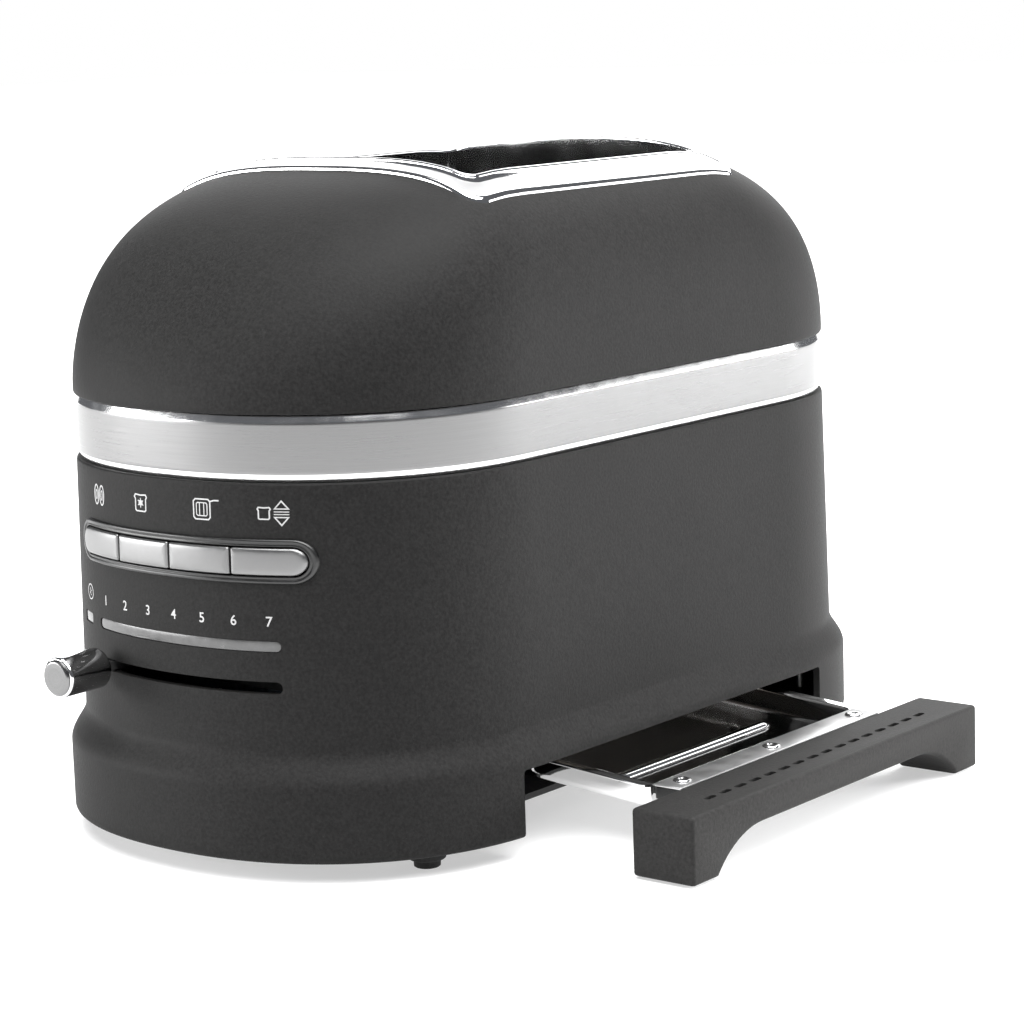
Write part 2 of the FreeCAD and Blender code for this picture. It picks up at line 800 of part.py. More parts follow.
def tray_pan():
    """Polished pan: a level flange on the handle's ledge and a shallow box that climbs inwards."""
    x1 = pan_front
    x0 = x1 - pan_length
    top = handle_top
    half = pan_half_width
    outer = box(x0, x1, -half, half, top - pan_depth, top)
    inner = box(x0 + pan_sheet, x1 - pan_sheet, -half + pan_sheet, half - pan_sheet,
                top - pan_depth + pan_sheet, top)
    lips = [box(x0, x1, sign * half if sign > 0 else -half - pan_lip, half + pan_lip if sign > 0 else -half,
                top - pan_sheet, top) for sign in (-1, 1)]
    ribs = []
    for i in range(rib_count):
        x = (x0 + x1) / 2 + (i - (rib_count - 1) / 2) * rib_pitch
        rib = rod(rib_radius, V(x, -rib_half_length, top - pan_depth + pan_sheet), Y, 2 * rib_half_length)
        ribs.append(rib.common(inner))
    pan = tilt(fuse([outer.cut(inner)] + lips + ribs), x1, top)
    flange = box(x1 - pan_sheet, handle_inner, -half, half, top - pan_sheet, top)
    flange = flange.cut(tilt(inner, x1, top))
    for y in rivet_places:
        flange = flange.cut(rod(rivet_diameter / 2, V(rivet_x, y, top - pan_sheet), Z, pan_sheet))
    return fuse([pan, flange])


def tray_rivets():
    """Three rivets that hold the pan's flange on the handle's ledge."""
    rivets = []
    for y in rivet_places:
        place = V(rivet_x, y, handle_top)
        length = ledge_thickness + pan_sheet
        shank = rod(rivet_diameter / 2, place - Z * length, Z, length)
        head = rod(rivet_head / 2, place, Z, pan_sheet)
        rivets.append(fuse([shank, head.makeChamfer(pan_sheet / 2, [head.Edges[0]])]))
    return group(rivets)


def tray_rails():
    """Two sloping rails on the chamber's end plates that carry the pan's lips."""
    rails = []
    for sign in (-1, 1):
        y0, y1 = sorted((sign * (pan_half_width + slide_gap), sign * plate_y))
        low = handle_top - pan_sheet - slide_gap
        rail = box(-2 * chamber_half_width, pan_front, y0, y1, low - rail_height, low)
        rails.append(tilt(rail, pan_front, handle_top).common(
            box(-chamber_half_width, stowed_x, y0, y1, 0, band_bottom)))
    return group(rails)


# ---- mains side -------------------------------------------------------------------------------------
def power_board():
    """Board with relay and transformer that stands behind the chamber."""
    return standing_board(power_half_width, power_board_y, power_bottom, power_top)


def power_parts():
    """Relay and transformer on the power board."""
    y1 = power_board_y + board_thickness
    relay = box(-power_half_width / 2 - relay_size / 2, -power_half_width / 2 + relay_size / 2,
                y1, y1 + relay_size, power_bottom + relay_lift, power_bottom + relay_lift + relay_size)
    coil = box(power_half_width / 2 - coil_size / 2, power_half_width / 2 + coil_size / 2,
               y1, y1 + relay_size, power_bottom + relay_lift, power_bottom + relay_lift + coil_size)
    return group([relay, coil])


# ---- every node -------------------------------------------------------------------------------------
def nodes():
    """All sub-parts by name, placed where they rest."""
    parts = {
        "lower_housing": lower_housing(),
        "trim_band": trim_band(),
        "dome_shell": dome_shell(),
        "top_surround": top_surround(),
        "slot_liner": slot_liner(),
        "base_plate": base_plate(),
        "rubber_feet": rubber_feet(),
        "tie_screws": tie_screws(),
        "cord_gland": cord_gland(),
        "chamber_end_front": chamber_end(-1),
        "chamber_end_rear": chamber_end(1),
        "reflector_left": reflector(-1),
        "reflector_right": reflector(1),
        "heater_card_left": heater_card(-card_offset),
        "heater_card_centre": heater_card(0.0),
        "heater_card_right": heater_card(card_offset),
        "heater_elements": heater_elements(),
        "centre_bridge": centre_bridge(),
        "guard_left_outer": bread_guard(-slot_outer),
        "guard_left_inner": bread_guard(-slot_inner),
        "guard_right_inner": bread_guard(slot_inner),
        "guard_right_outer": bread_guard(slot_outer),
        "bread_rack_left": bread_rack(-slot_centre),
        "bread_rack_right": bread_rack(slot_centre),
        "lift_carriage": lift_carriage(),
        "guide_rods": guide_rods(),
        "top_bracket": top_bracket(),
        "lift_motor": lift_motor(),
        "lead_screw": lead_screw(),
        "button_bezel": button_bezel(),
        "display_window": display_window(),
        "lamp_window": lamp_window(),
        "control_board": control_board(),
        "switch_mat": switch_mat(),
        "slider_track": slider_track(),
        "shade_lever": shade_lever(),
        "shade_knob": shade_knob(),
        "knob_cap": knob_cap(),
        "tray_handle": tray_handle(),
        "tray_pan": tray_pan(),
        "tray_rivets": tray_rivets(),
        "tray_rails": tray_rails(),
        "power_board": power_board(),
        "power_parts": power_parts(),
    }
    names = ("button_bagel", "button_defrost", "button_sandwich", "button_start")
    for index, name in enumerate(names):
        parts[name] = push_button(index)
    return parts


os.makedirs("parts", exist_ok=True)
for node_name, node_shape in nodes().items():
    node_shape.exportStep("parts/" + node_name + ".step")
    volume = round(sum(s.Volume for s in node_shape.Solids))
    print(node_name, len(node_shape.Solids), "solids", volume, "mm3", node_shape.isValid())
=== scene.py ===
"""Looks of a two-slice pop-up toaster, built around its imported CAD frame."""
import math

import bmesh
import bpy
import numpy as np
from mathutils import Matrix, Vector


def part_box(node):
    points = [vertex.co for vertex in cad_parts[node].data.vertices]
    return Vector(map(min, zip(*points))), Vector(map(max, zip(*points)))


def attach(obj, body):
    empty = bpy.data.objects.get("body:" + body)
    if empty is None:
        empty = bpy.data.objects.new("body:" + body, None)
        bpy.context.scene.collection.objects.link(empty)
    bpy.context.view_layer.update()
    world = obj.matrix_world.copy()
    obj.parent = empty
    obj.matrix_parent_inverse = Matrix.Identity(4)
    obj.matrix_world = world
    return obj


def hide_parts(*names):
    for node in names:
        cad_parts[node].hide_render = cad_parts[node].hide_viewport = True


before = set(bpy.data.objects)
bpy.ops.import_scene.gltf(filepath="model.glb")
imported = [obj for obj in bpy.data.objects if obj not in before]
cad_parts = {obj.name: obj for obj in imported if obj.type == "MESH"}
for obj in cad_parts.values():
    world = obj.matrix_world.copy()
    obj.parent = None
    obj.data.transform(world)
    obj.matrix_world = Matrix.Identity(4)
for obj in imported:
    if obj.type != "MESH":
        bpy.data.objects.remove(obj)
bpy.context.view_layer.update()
MM = 0.001

# ---- sizes, in millimetres ------------------------------------------------------------------------
OUTLINE_POWER = 2.22
CROWN_POWER = 2.76
END_DEPTH = 84.0
SIDE_RISE, SIDE_ROUND = 3.43, 3.06
END_RISE, END_ROUND = 1.5, 3.32
FLARE_SIDE, FLARE_END = 3.9, 5.6
DRAFT_SIDE, DRAFT_END = 1.2, 1.6
FLARE_LOW, FLARE_HEIGHT = 29.5, 11.5
WALL = 2.5
DOME_WALL = 3.0
BAND_RISE = 20.7
DOME_HEIGHT = 73.1
SKIRT_ROLL = 1.6
MOUTH_HALF, MOUTH_TOP = 84.3, 28.2
MOUTH_CORNER = 1.4
GLAND_HOLE = 4.5
LIP_WALL = 1.2
LIP_CORNER = 3.8
FRAME_GAP = 1.25
FRAME_INNER_CORNER, FRAME_CORNER_GROWTH = 5.0, 2.0
# outline points in a quarter turn, and in a straight side
QUARTER = 40
STRAIGHT = 16


def node_box(name):
    """Lowest and highest corner of a CAD node in millimetres."""
    low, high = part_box(name)
    return low / MM, high / MM


housing_low, housing_high = node_box("lower_housing")
BASE_X, BASE_Y = housing_high.x, housing_high.y
SKIRT, BAND_LOW = housing_low.z, housing_high.z
BAND_HIGH = BAND_LOW + BAND_RISE
FLARE_TOP = FLARE_LOW + FLARE_HEIGHT


# ---- materials ------------------------------------------------------------------------------------
def grey(value, warm=0.0):
    """Linear colour of a given brightness, a little warm or cool."""
    return (value * (1 + warm), value, value * (1 - warm), 1.0)


class Nodes:
    """A material's node tree, with short calls for the nodes used here."""

    def __init__(self, name):
        self.material = bpy.data.materials.new(name)
        self.material.use_nodes = True
        self.tree = self.material.node_tree
        self.shader = self.tree.nodes["Principled BSDF"]
        coords = self.tree.nodes.new("ShaderNodeTexCoord")
        self.object_coords = coords.outputs["Object"]
        self.uv = coords.outputs["UV"]

    def link(self, output, socket):
        self.tree.links.new(output, socket)

    def scaled(self, source, scale):
        node = self.tree.nodes.new("ShaderNodeMapping")
        node.inputs["Scale"].default_value = scale
        self.link(source, node.inputs["Vector"])
        return node.outputs["Vector"]

    def noise(self, source, scale, detail=3.0, rough=0.55):
        node = self.tree.nodes.new("ShaderNodeTexNoise")
        node.inputs["Scale"].default_value = scale
        node.inputs["Detail"].default_value = detail
        node.inputs["Roughness"].default_value = rough
        self.link(source, node.inputs["Vector"])
        return node.outputs["Fac"]

    def cells(self, source, scale, feature="F1"):
        node = self.tree.nodes.new("ShaderNodeTexVoronoi")
        node.feature = feature
        node.inputs["Scale"].default_value = scale
        self.link(source, node.inputs["Vector"])
        return node.outputs["Distance"]

    def remap(self, source, low, high, new_low, new_high):
        node = self.tree.nodes.new("ShaderNodeMapRange")
        node.inputs["From Min"].default_value = low
        node.inputs["From Max"].default_value = high
        node.inputs["To Min"].default_value = new_low
        node.inputs["To Max"].default_value = new_high
        self.link(source, node.inputs["Value"])
        return node.outputs["Result"]

    def blend(self, factor, first, second):
        node = self.tree.nodes.new("ShaderNodeMix")
        node.data_type = "RGBA"
        self.link(factor, node.inputs["Factor"])
        for socket, value in ((node.inputs[6], first), (node.inputs[7], second)):
            if isinstance(value, tuple):
                socket.default_value = value
            else:
                self.link(value, socket)
        return node.outputs[2]

    def add(self, first, second, weight):
        node = self.tree.nodes.new("ShaderNodeMath")
        node.operation = "MULTIPLY_ADD"
        self.link(second, node.inputs[0])
        node.inputs[1].default_value = weight
        self.link(first, node.inputs[2])
        return node.outputs[0]

    def bump(self, height, depth, strength=1.0):
        node = self.tree.nodes.new("ShaderNodeBump")
        node.inputs["Strength"].default_value = strength
        node.inputs["Distance"].default_value = depth
        self.link(height, node.inputs["Height"])
        self.link(node.outputs["Normal"], self.shader.inputs["Normal"])

    def set(self, **values):
        for name, value in values.items():
            self.shader.inputs[name.replace("_", " ")].default_value = value


def painted(name, dark, light, warm=0.0, gloss=0.18, rough=(0.54, 0.64), grain=1.0):
    """Textured powder coat: fine grains, soft mottling and small bright flecks."""
    n = Nodes(name)
    fine = n.noise(n.object_coords, 950 * grain, 4.0, 0.62)
    soft = n.noise(n.object_coords, 210 * grain, 3.0, 0.5)
    broad = n.noise(n.object_coords, 22, 2.0, 0.5)
    mottle = n.add(n.remap(fine, 0.33, 0.67, 0.0, 0.85), n.remap(soft, 0.3, 0.7, 0.0, 1.0), 0.1)
    cloudy = n.add(mottle, n.remap(broad, 0.3, 0.7, -0.5, 0.5), 0.12)
    tone = n.blend(cloudy, grey(dark, warm), grey(light, warm))
    flecks = n.remap(n.cells(n.object_coords, 620 * grain), 0.0, 0.16, 0.35, 0.0)
    n.link(n.blend(flecks, tone, grey(light * 2.1, warm)), n.shader.inputs["Base Color"])
    n.link(n.remap(fine, 0.3, 0.7, *rough), n.shader.inputs["Roughness"])
    n.bump(fine, 0.00014, 0.7)
    n.set(Specular_IOR_Level=gloss)
    return n.material


def brushed(name, tone, rough=(0.24, 0.36), stretch=(30.0, 2600.0, 1.0), turn=0.55, wear=0.08):
    """Brushed sheet metal: long fine lines along U, soft cloudy roughness."""
    n = Nodes(name)
    lines = n.noise(n.scaled(n.uv, stretch), 1.0, 5.0, 0.7)
    cloud = n.noise(n.object_coords, 34, 3.0, 0.5)
    shade = n.add(lines, cloud, 0.25)
    worn, fresh = grey(tone * (1 - wear)), grey(tone * (1 + wear))
    colour = n.blend(n.remap(shade, 0.35, 0.85, 0.0, 1.0), worn, fresh)
    n.link(colour, n.shader.inputs["Base Color"])
    n.link(n.remap(shade, 0.35, 0.85, *rough), n.shader.inputs["Roughness"])
    n.bump(lines, 0.00002, 0.35)
    n.set(Metallic=1.0, Anisotropic=turn)
    return n.material


def metal(name, tone, rough=(0.06, 0.14), scale=160, warm=0.0, bump=0.00001, smear=0.06):
    """Plated or plain metal with handling haze and faint waviness."""
    n = Nodes(name)
    haze = n.noise(n.object_coords, scale, 4.0, 0.6)
    broad = n.noise(n.object_coords, scale / 6, 2.0, 0.5)
    both = n.add(haze, broad, 0.5)
    colour = n.blend(n.remap(both, 0.5, 1.0, 0.0, 1.0), grey(tone * (1 - smear), warm), grey(tone, warm))
    n.link(colour, n.shader.inputs["Base Color"])
    n.link(n.remap(both, 0.5, 1.0, *rough), n.shader.inputs["Roughness"])
    n.bump(both, bump, 0.3)
    n.set(Metallic=1.0)
    return n.material


def moulded(name, dark, light, rough=(0.35, 0.55), scale=900, bump=0.00006, warm=0.0, gloss=0.4):
    """Moulded plastic, rubber, card or board: spark-eroded grain over a slight tone change."""
    n = Nodes(name)
    fine = n.noise(n.object_coords, scale, 3.0, 0.6)
    broad = n.noise(n.object_coords, scale / 14, 2.0, 0.5)
    both = n.add(fine, broad, 0.6)
    n.link(n.blend(n.remap(both, 0.55, 1.05, 0.0, 1.0), grey(dark, warm), grey(light, warm)),
           n.shader.inputs["Base Color"])
    n.link(n.remap(both, 0.55, 1.05, *rough), n.shader.inputs["Roughness"])
    n.bump(fine, bump, 0.6)
    n.set(Specular_IOR_Level=gloss)
    return n.material


PAINT = painted("charcoal_powder_coat", 0.0075, 0.0165, warm=0.015, gloss=0.1)
HANDLE_PAINT = painted("handle_powder_coat", 0.0105, 0.0225, warm=0.02, gloss=0.12, grain=0.9)
BAND = brushed("brushed_band", 0.21, turn=0.3)
BAND_EDGE = metal("polished_band_edge", 0.86, rough=(0.1, 0.2))
POLISHED = metal("polished_steel", 0.84, rough=(0.03, 0.09), scale=60)
FRAME_TOP = metal("frame_steel", 0.6, rough=(0.3, 0.4), scale=90)
SATIN = metal("satin_bezel", 0.062, rough=(0.3, 0.42), scale=500, bump=0.00003)
BUTTON = metal("satin_silver_button", 0.215, rough=(0.32, 0.42), scale=700, bump=0.00002)
SMOKED = metal("smoked_chrome", 0.7, rough=(0.08, 0.16), scale=120)
CAP = brushed("turned_cap", 0.2, rough=(0.2, 0.3), stretch=(8.0, 900.0, 1.0), turn=0.3)
BLACK = moulded("black_plastic", 0.008, 0.02)
GLOSS_BLACK = moulded("gloss_black_plastic", 0.02, 0.035, rough=(0.12, 0.24), scale=300, bump=0.00001)
RUBBER = moulded("rubber_foot", 0.012, 0.028, rough=(0.6, 0.8), scale=1400, gloss=0.25)
LENS = moulded("smoked_lens", 0.065, 0.095, rough=(0.16, 0.28), scale=260, bump=0.00001, gloss=0.5)
LAMP = moulded("lamp_lens", 0.06, 0.085, rough=(0.16, 0.28), scale=260, bump=0.00001, gloss=0.5)
PRINT = moulded("panel_print", 0.34, 0.44, rough=(0.4, 0.55), scale=1500, bump=0.00001)
ZINC = metal("zinc_steel", 0.5, rough=(0.3, 0.5), scale=220, warm=0.02, bump=0.00003, smear=0.2)
PAN_STEEL = metal("dark_pan_steel", 0.26, rough=(0.08, 0.16), scale=60)
FLANGE_STEEL = metal("satin_flange_steel", 0.62, rough=(0.3, 0.4), scale=140)
BRIGHT = metal("bright_steel", 0.75, rough=(0.12, 0.25), scale=180)
WIRE = metal("wire_chrome", 0.8, rough=(0.08, 0.16), scale=400)
MICA = moulded("mica_card", 0.2, 0.42, rough=(0.4, 0.6), scale=260, bump=0.00005, warm=0.12)
HEATING = metal("heating_ribbon", 0.22, rough=(0.4, 0.6), scale=500, warm=0.08, smear=0.3)
BOARD = moulded("green_board", 0.03, 0.08, rough=(0.25, 0.4), scale=500, warm=-0.2)


# ---- mesh helpers ---------------------------------------------------------------------------------
def place(name, mesh, body, stands_for=(), sharp=32):
    """Object for a finished mesh, riding on a CAD body."""
    mesh.polygons.foreach_set("use_smooth", [True] * len(mesh.polygons))
    mesh.set_sharp_from_angle(angle=math.radians(sharp))
    piece = bpy.data.objects.new(name, mesh)
    bpy.context.scene.collection.objects.link(piece)
    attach(piece, body)
    if stands_for:
        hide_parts(*stands_for)
    return piece


def mesh_of(name, points, faces, materials, marks=None, uv=None):
    """Mesh from points in millimetres, with outward normals."""
    mesh = bpy.data.meshes.new(name)
    mesh.from_pydata([Vector(p) * MM for p in points], [], faces)
    for material in materials:
        mesh.materials.append(material)
    if marks is not None:
        mesh.polygons.foreach_set("material_index", marks)
    if uv is not None:
        layer = mesh.uv_layers.new(name="UVMap")
        corners = [uv[i] for face in faces for i in face]
        layer.data.foreach_set("uv", np.array(corners, np.float32).ravel())
    shape = bmesh.new()
    shape.from_mesh(mesh)
    bmesh.ops.recalc_face_normals(shape, faces=shape.faces)
    shape.to_mesh(mesh)
    shape.free()
    return mesh


def loft(name, rings, materials, marks=None, closed=False, capped=False):
    """Mesh through rings of equal point count. marks gives a material index per strip."""
    rings = [np.asarray(r, float) for r in rings]
    count = len(rings[0])
    points = np.concatenate(rings)
    spans = len(rings) if closed else len(rings) - 1
    faces, indices = [], []
    for i in range(spans):
        a, b = i * count, ((i + 1) % len(rings)) * count
        for k in range(count):
            j = (k + 1) % count
            faces.append((a + k, a + j, b + j, b + k))
            indices.append(0 if marks is None else marks[i])
    if capped:
        faces.append(tuple(range(count)))
        faces.append(tuple(range((len(rings) - 1) * count, len(rings) * count)))
        indices += [0 if marks is None else marks[0], 0 if marks is None else marks[-1]]
    middle = rings[0]
    steps = np.linalg.norm(np.roll(middle, -1, 0) - middle, axis=1)
    run = np.concatenate([[0.0], np.cumsum(steps)[:-1]])
    uv = []
    height = 0.0
    for i, ring in enumerate(rings):
        if i:
            height += float(np.linalg.norm(ring[0] - rings[i - 1][0]))
        uv += [(u * MM, height * MM) for u in run]
    return mesh_of(name, points, faces, materials, indices, uv)


def with_modifiers(piece_mesh, name, *steps):
    """Mesh after the modifiers that the steps add to it."""
    holder = bpy.data.objects.new(name + "_work", piece_mesh)
    bpy.context.scene.collection.objects.link(holder)
    for step in steps:
        step(holder)
    graph = bpy.context.evaluated_depsgraph_get()
    result = bpy.data.meshes.new_from_object(holder.evaluated_get(graph), depsgraph=graph)
    result.name = name
    bpy.data.objects.remove(holder)
    return result


def carve(meshes):
    """Step that cuts closed meshes out of a piece."""
    def step(holder):
        for cutter in meshes:
            tool = bpy.data.objects.new("cutter", cutter)
            bpy.context.scene.collection.objects.link(tool)
            cut = holder.modifiers.new("cut", "BOOLEAN")
            cut.object = tool
            cut.operation = "DIFFERENCE"
            cut.solver = "EXACT"
            graph = bpy.context.evaluated_depsgraph_get()
            holder.data = bpy.data.meshes.new_from_object(holder.evaluated_get(graph), depsgraph=graph)
            holder.modifiers.clear()
            bpy.data.objects.remove(tool)
    return step


def rounded_edges(width, parts=3, angle=40):
    """Step that bevels a piece's edges."""
    def step(holder):
        bevel = holder.modifiers.new("bevel", "BEVEL")
        bevel.width = width * MM
        bevel.segments = parts
        bevel.limit_method = "ANGLE"
        bevel.angle_limit = math.radians(angle)
        bevel.harden_normals = False
    return step


def box_mesh(x0, x1, y0, y1, z0, z1, material=None):
    """Plain box, used as a cutter or before its edges are rounded."""
    points = [(x, y, z) for x in (x0, x1) for y in (y0, y1) for z in (z0, z1)]
    faces = [(0, 1, 3, 2), (4, 6, 7, 5), (0, 4, 5, 1), (2, 3, 7, 6), (0, 2, 6, 4), (1, 5, 7, 3)]
    return mesh_of("block", points, faces, [material] if material else [])


def rounded_box(name, low, high, radius, material, body, stands_for=()):
    """Box with rounded edges."""
    mesh = box_mesh(low[0], high[0], low[1], high[1], low[2], high[2], material)
    mesh = with_modifiers(mesh, name, rounded_edges(radius))
    return place(name, mesh, body, stands_for)


def lathe(centre, axis, profile, count=96):
    """Rings of a turned shape: profile is (along, radius) from a centre along an axis."""
    axis = Vector(axis).normalized()
    side = axis.orthogonal().normalized()
    up = axis.cross(side)
    rings = []
    for along, radius in profile:
        ring = []
        for k in range(count):
            turn = 2 * math.pi * k / count
            spoke = side * math.cos(turn) + up * math.sin(turn)
            ring.append(Vector(centre) + axis * along + spoke * radius)
        rings.append(ring)
    return rings


# ---- body outline and dome ------------------------------------------------------------------------
def outline(half_width, half_length, depth, power, z):
    """Plan outline as points: rounded ends joined by straight sides."""
    quarter = []
    for i in range(QUARTER + 1):
        angle = math.pi / 2 * i / QUARTER
        across = half_width * math.sin(angle) ** (2 / power)
        along = depth * max(math.cos(angle), 0.0) ** (2 / power)
        quarter.append((across, half_length - depth + along))
    flat = half_length - depth
    side = [(half_width, flat * (1 - 2 * i / STRAIGHT)) for i in range(1, STRAIGHT)]
    right = quarter + side + [(x, -y) for x, y in reversed(quarter)]
    left = [(-x, y) for x, y in reversed(right[1:-1])]
    return np.array([(x, y, z) for x, y in right + left])


def housing_size(z):
    """Half width, half length and end depth of the lower housing at a height."""
    rise = min(max((z - FLARE_LOW) / FLARE_HEIGHT, 0.0), 1.0)
    step = rise * rise * (3 - 2 * rise)
    lean = max((z - FLARE_TOP) / (BAND_LOW - FLARE_TOP), 0.0)
    side = FLARE_SIDE * step + DRAFT_SIDE * lean
    end = FLARE_END * step + DRAFT_END * lean
    return BASE_X - side, BASE_Y - end, END_DEPTH - side


def housing_ring(z, inset):
    """Outline of the housing at a height, drawn in by an inset."""
    width, length, depth = housing_size(z)
    return outline(width - inset, length - inset, depth - inset, OUTLINE_POWER, z)


def dome_size(rise, extra=0.0):
    """Half width, half length, end depth and outline power of the dome at a share of its height."""
    width, length, depth = housing_size(BAND_LOW)
    half_width = (width + extra) * (1 - rise ** SIDE_RISE) ** (1 / SIDE_ROUND)
    half_length = (length + extra) * (1 - rise ** END_RISE) ** (1 / END_ROUND)
    power = OUTLINE_POWER + (CROWN_POWER - OUTLINE_POWER) * rise
    return half_width, half_length, (depth + extra) * half_length / (length + extra), power


def dome_z(x, y):
    """Height of the dome's surface over points of the plan, by halving."""
    x, y = np.abs(np.asarray(x, float)), np.abs(np.asarray(y, float))
    low, high = np.zeros_like(x), np.full_like(x, 0.9999)
    for _ in range(40):
        rise = (low + high) / 2
        half_width, half_length, depth, power = dome_size(rise)
        beyond = np.maximum(y - (half_length - depth), 0) / depth
        inside = (x / half_width) ** power + beyond ** power <= 1
        low, high = np.where(inside, rise, low), np.where(inside, high, rise)
    return BAND_HIGH + DOME_HEIGHT * low


def frame_loop(half_x, half_y, corner):
    """Rounded rectangle in plan with the same points as outline()."""
    edge = int(QUARTER * 0.62)
    quarter = [((half_x - corner) * i / edge, half_y) for i in range(edge)]
    for i in range(QUARTER - edge + 1):
        angle = math.pi / 2 * i / (QUARTER - edge)
        quarter.append((half_x - corner + corner * math.sin(angle),
                        half_y - corner + corner * math.cos(angle)))
    flat = half_y - corner
    side = [(half_x, flat * (1 - 2 * i / STRAIGHT)) for i in range(1, STRAIGHT)]
    right = quarter + side + [(x, -y) for x, y in reversed(quarter)]
    left = [(-x, y) for x, y in reversed(right[1:-1])]
    return np.array(right + left)


def on_dome(loop, lift):
    """Loop of plan points laid on the dome, raised by a lift."""
    return np.column_stack([loop[:, 0], loop[:, 1], dome_z(loop[:, 0], loop[:, 1]) + lift])


def front_y(x, z):
    """Y of the housing's front surface at a place across and up."""
    width, length, depth = housing_size(z)
    share = min(abs(x) / width, 1.0)
    return -(length - depth) - depth * (1 - share ** OUTLINE_POWER) ** (1 / OUTLINE_POWER)


def on_front(x, z, out):
    """Point on the housing's front wall, raised along the wall's normal in plan."""
    step = 0.05
    dy = (front_y(x + step, z) - front_y(x - step, z)) / (2 * step)
    length = math.hypot(dy, 1.0)
    return (x + out * dy / length, front_y(x, z) - out / length, z)


def along_y(x, z, out):
    """Point on the front wall raised by the same layer, but moved straight along Y as the keys are."""
    step = 0.05
    dy = (front_y(x + step, z) - front_y(x - step, z)) / (2 * step)
    return (x, front_y(x, z) - out * math.hypot(dy, 1.0), z)


def panel_loop(x0, x1, z0, z1, left, right, inset, flats=26, turns=10):
    """Rounded bar outline on the panel, as (x, z); left and right are the ends' corner radii."""
    x0, x1, z0, z1 = x0 + inset, x1 - inset, z0 + inset, z1 - inset
    limit = (z1 - z0) / 2
    left, right = (min(max(r - inset, 0.06), limit) for r in (left, right))
    upper = []
    for i in range(turns + 1):
        angle = math.pi / 2 * i / turns
        upper.append((x0 + left - left * math.cos(angle), z1 - left + left * math.sin(angle)))
    for i in range(1, flats):
        upper.append((x0 + left + (x1 - x0 - left - right) * i / flats, z1))
    for i in range(turns + 1):
        angle = math.pi / 2 * i / turns
        upper.append((x1 - right + right * math.sin(angle), z1 - right + right * math.cos(angle)))
    return upper + [(x, z0 + z1 - z) for x, z in reversed(upper)]


def panel_piece(name, bar, profile, material, body, stands_for=(), raised=on_front):
    """Closed bar on the curved front: profile is (inset, out) from the back, then to the face."""
    rings = []
    for inset, out in profile:
        rings.append([raised(x, z, out) for x, z in panel_loop(*bar, inset)])
    count = len(rings[0])
    points = [p for ring in rings for p in ring]
    faces = []
    for i in range(len(rings) - 1):
        for k in range(count):
            j = (k + 1) % count
            faces.append((i * count + k, i * count + j, (i + 1) * count + j, (i + 1) * count + k))
    for base in (0, (len(rings) - 1) * count):
        for k in range(count // 2 - 1):
            faces.append((base + k, base + k + 1, base + count - 2 - k, base + count - 1 - k))
    mesh = mesh_of(name, points, faces, [material])
    return place(name, mesh, body, stands_for)


def panel_cutter(bar, inset):
    """Straight cutter through the front wall with a bar's outline."""
    loop = panel_loop(*bar, inset)
    ends = [[(x, y, z) for x, z in loop] for y in (-2 * BASE_Y, -BASE_Y / 2)]
    return loft("cutter", ends, [], capped=True)


# ---- where the panel's parts are -------------------------------------------------------------------
lens_low, lens_high = node_box("display_window")
lamp_low, lamp_high = node_box("lamp_window")
lever_low, lever_high = node_box("shade_lever")
FLANGE = 1.5
FIT = 0.1
KEYS = ("bagel", "defrost", "sandwich", "start")
button_boxes = [node_box("button_" + name) for name in KEYS]
ROW_LEFT, ROW_RIGHT = button_boxes[0][0].x, button_boxes[-1][1].x
ROW_LOW, ROW_HIGH = button_boxes[1][0].z, button_boxes[1][1].z
BEZEL, BEZEL_CUT = 2.6, 1.6
SLOT_HALF = 1.9
KNOB_REACH = 2.5
# corner radii; ROUND is larger than any bar and gives a half round end
ROUND = 20.0
KEY_CORNER = 0.7
LAMP_CORNER = 0.5
window_left, window_right = lens_low.x + FLANGE, lens_high.x - FLANGE
window_bar = (window_left, window_right, lens_low.z + FLANGE, lens_high.z - FLANGE, ROUND, ROUND)
lamp_bar = (lamp_low.x + FLANGE, lamp_high.x - FLANGE, lamp_low.z + FLANGE, lamp_high.z - FLANGE,
            LAMP_CORNER, LAMP_CORNER)
slot_middle = (lever_low.z + lever_high.z) / 2
slot_bar = (window_left, window_right, slot_middle - SLOT_HALF, slot_middle + SLOT_HALF, ROUND, ROUND)
row_bar = (ROW_LEFT, ROW_RIGHT, ROW_LOW, ROW_HIGH, ROUND, ROUND)


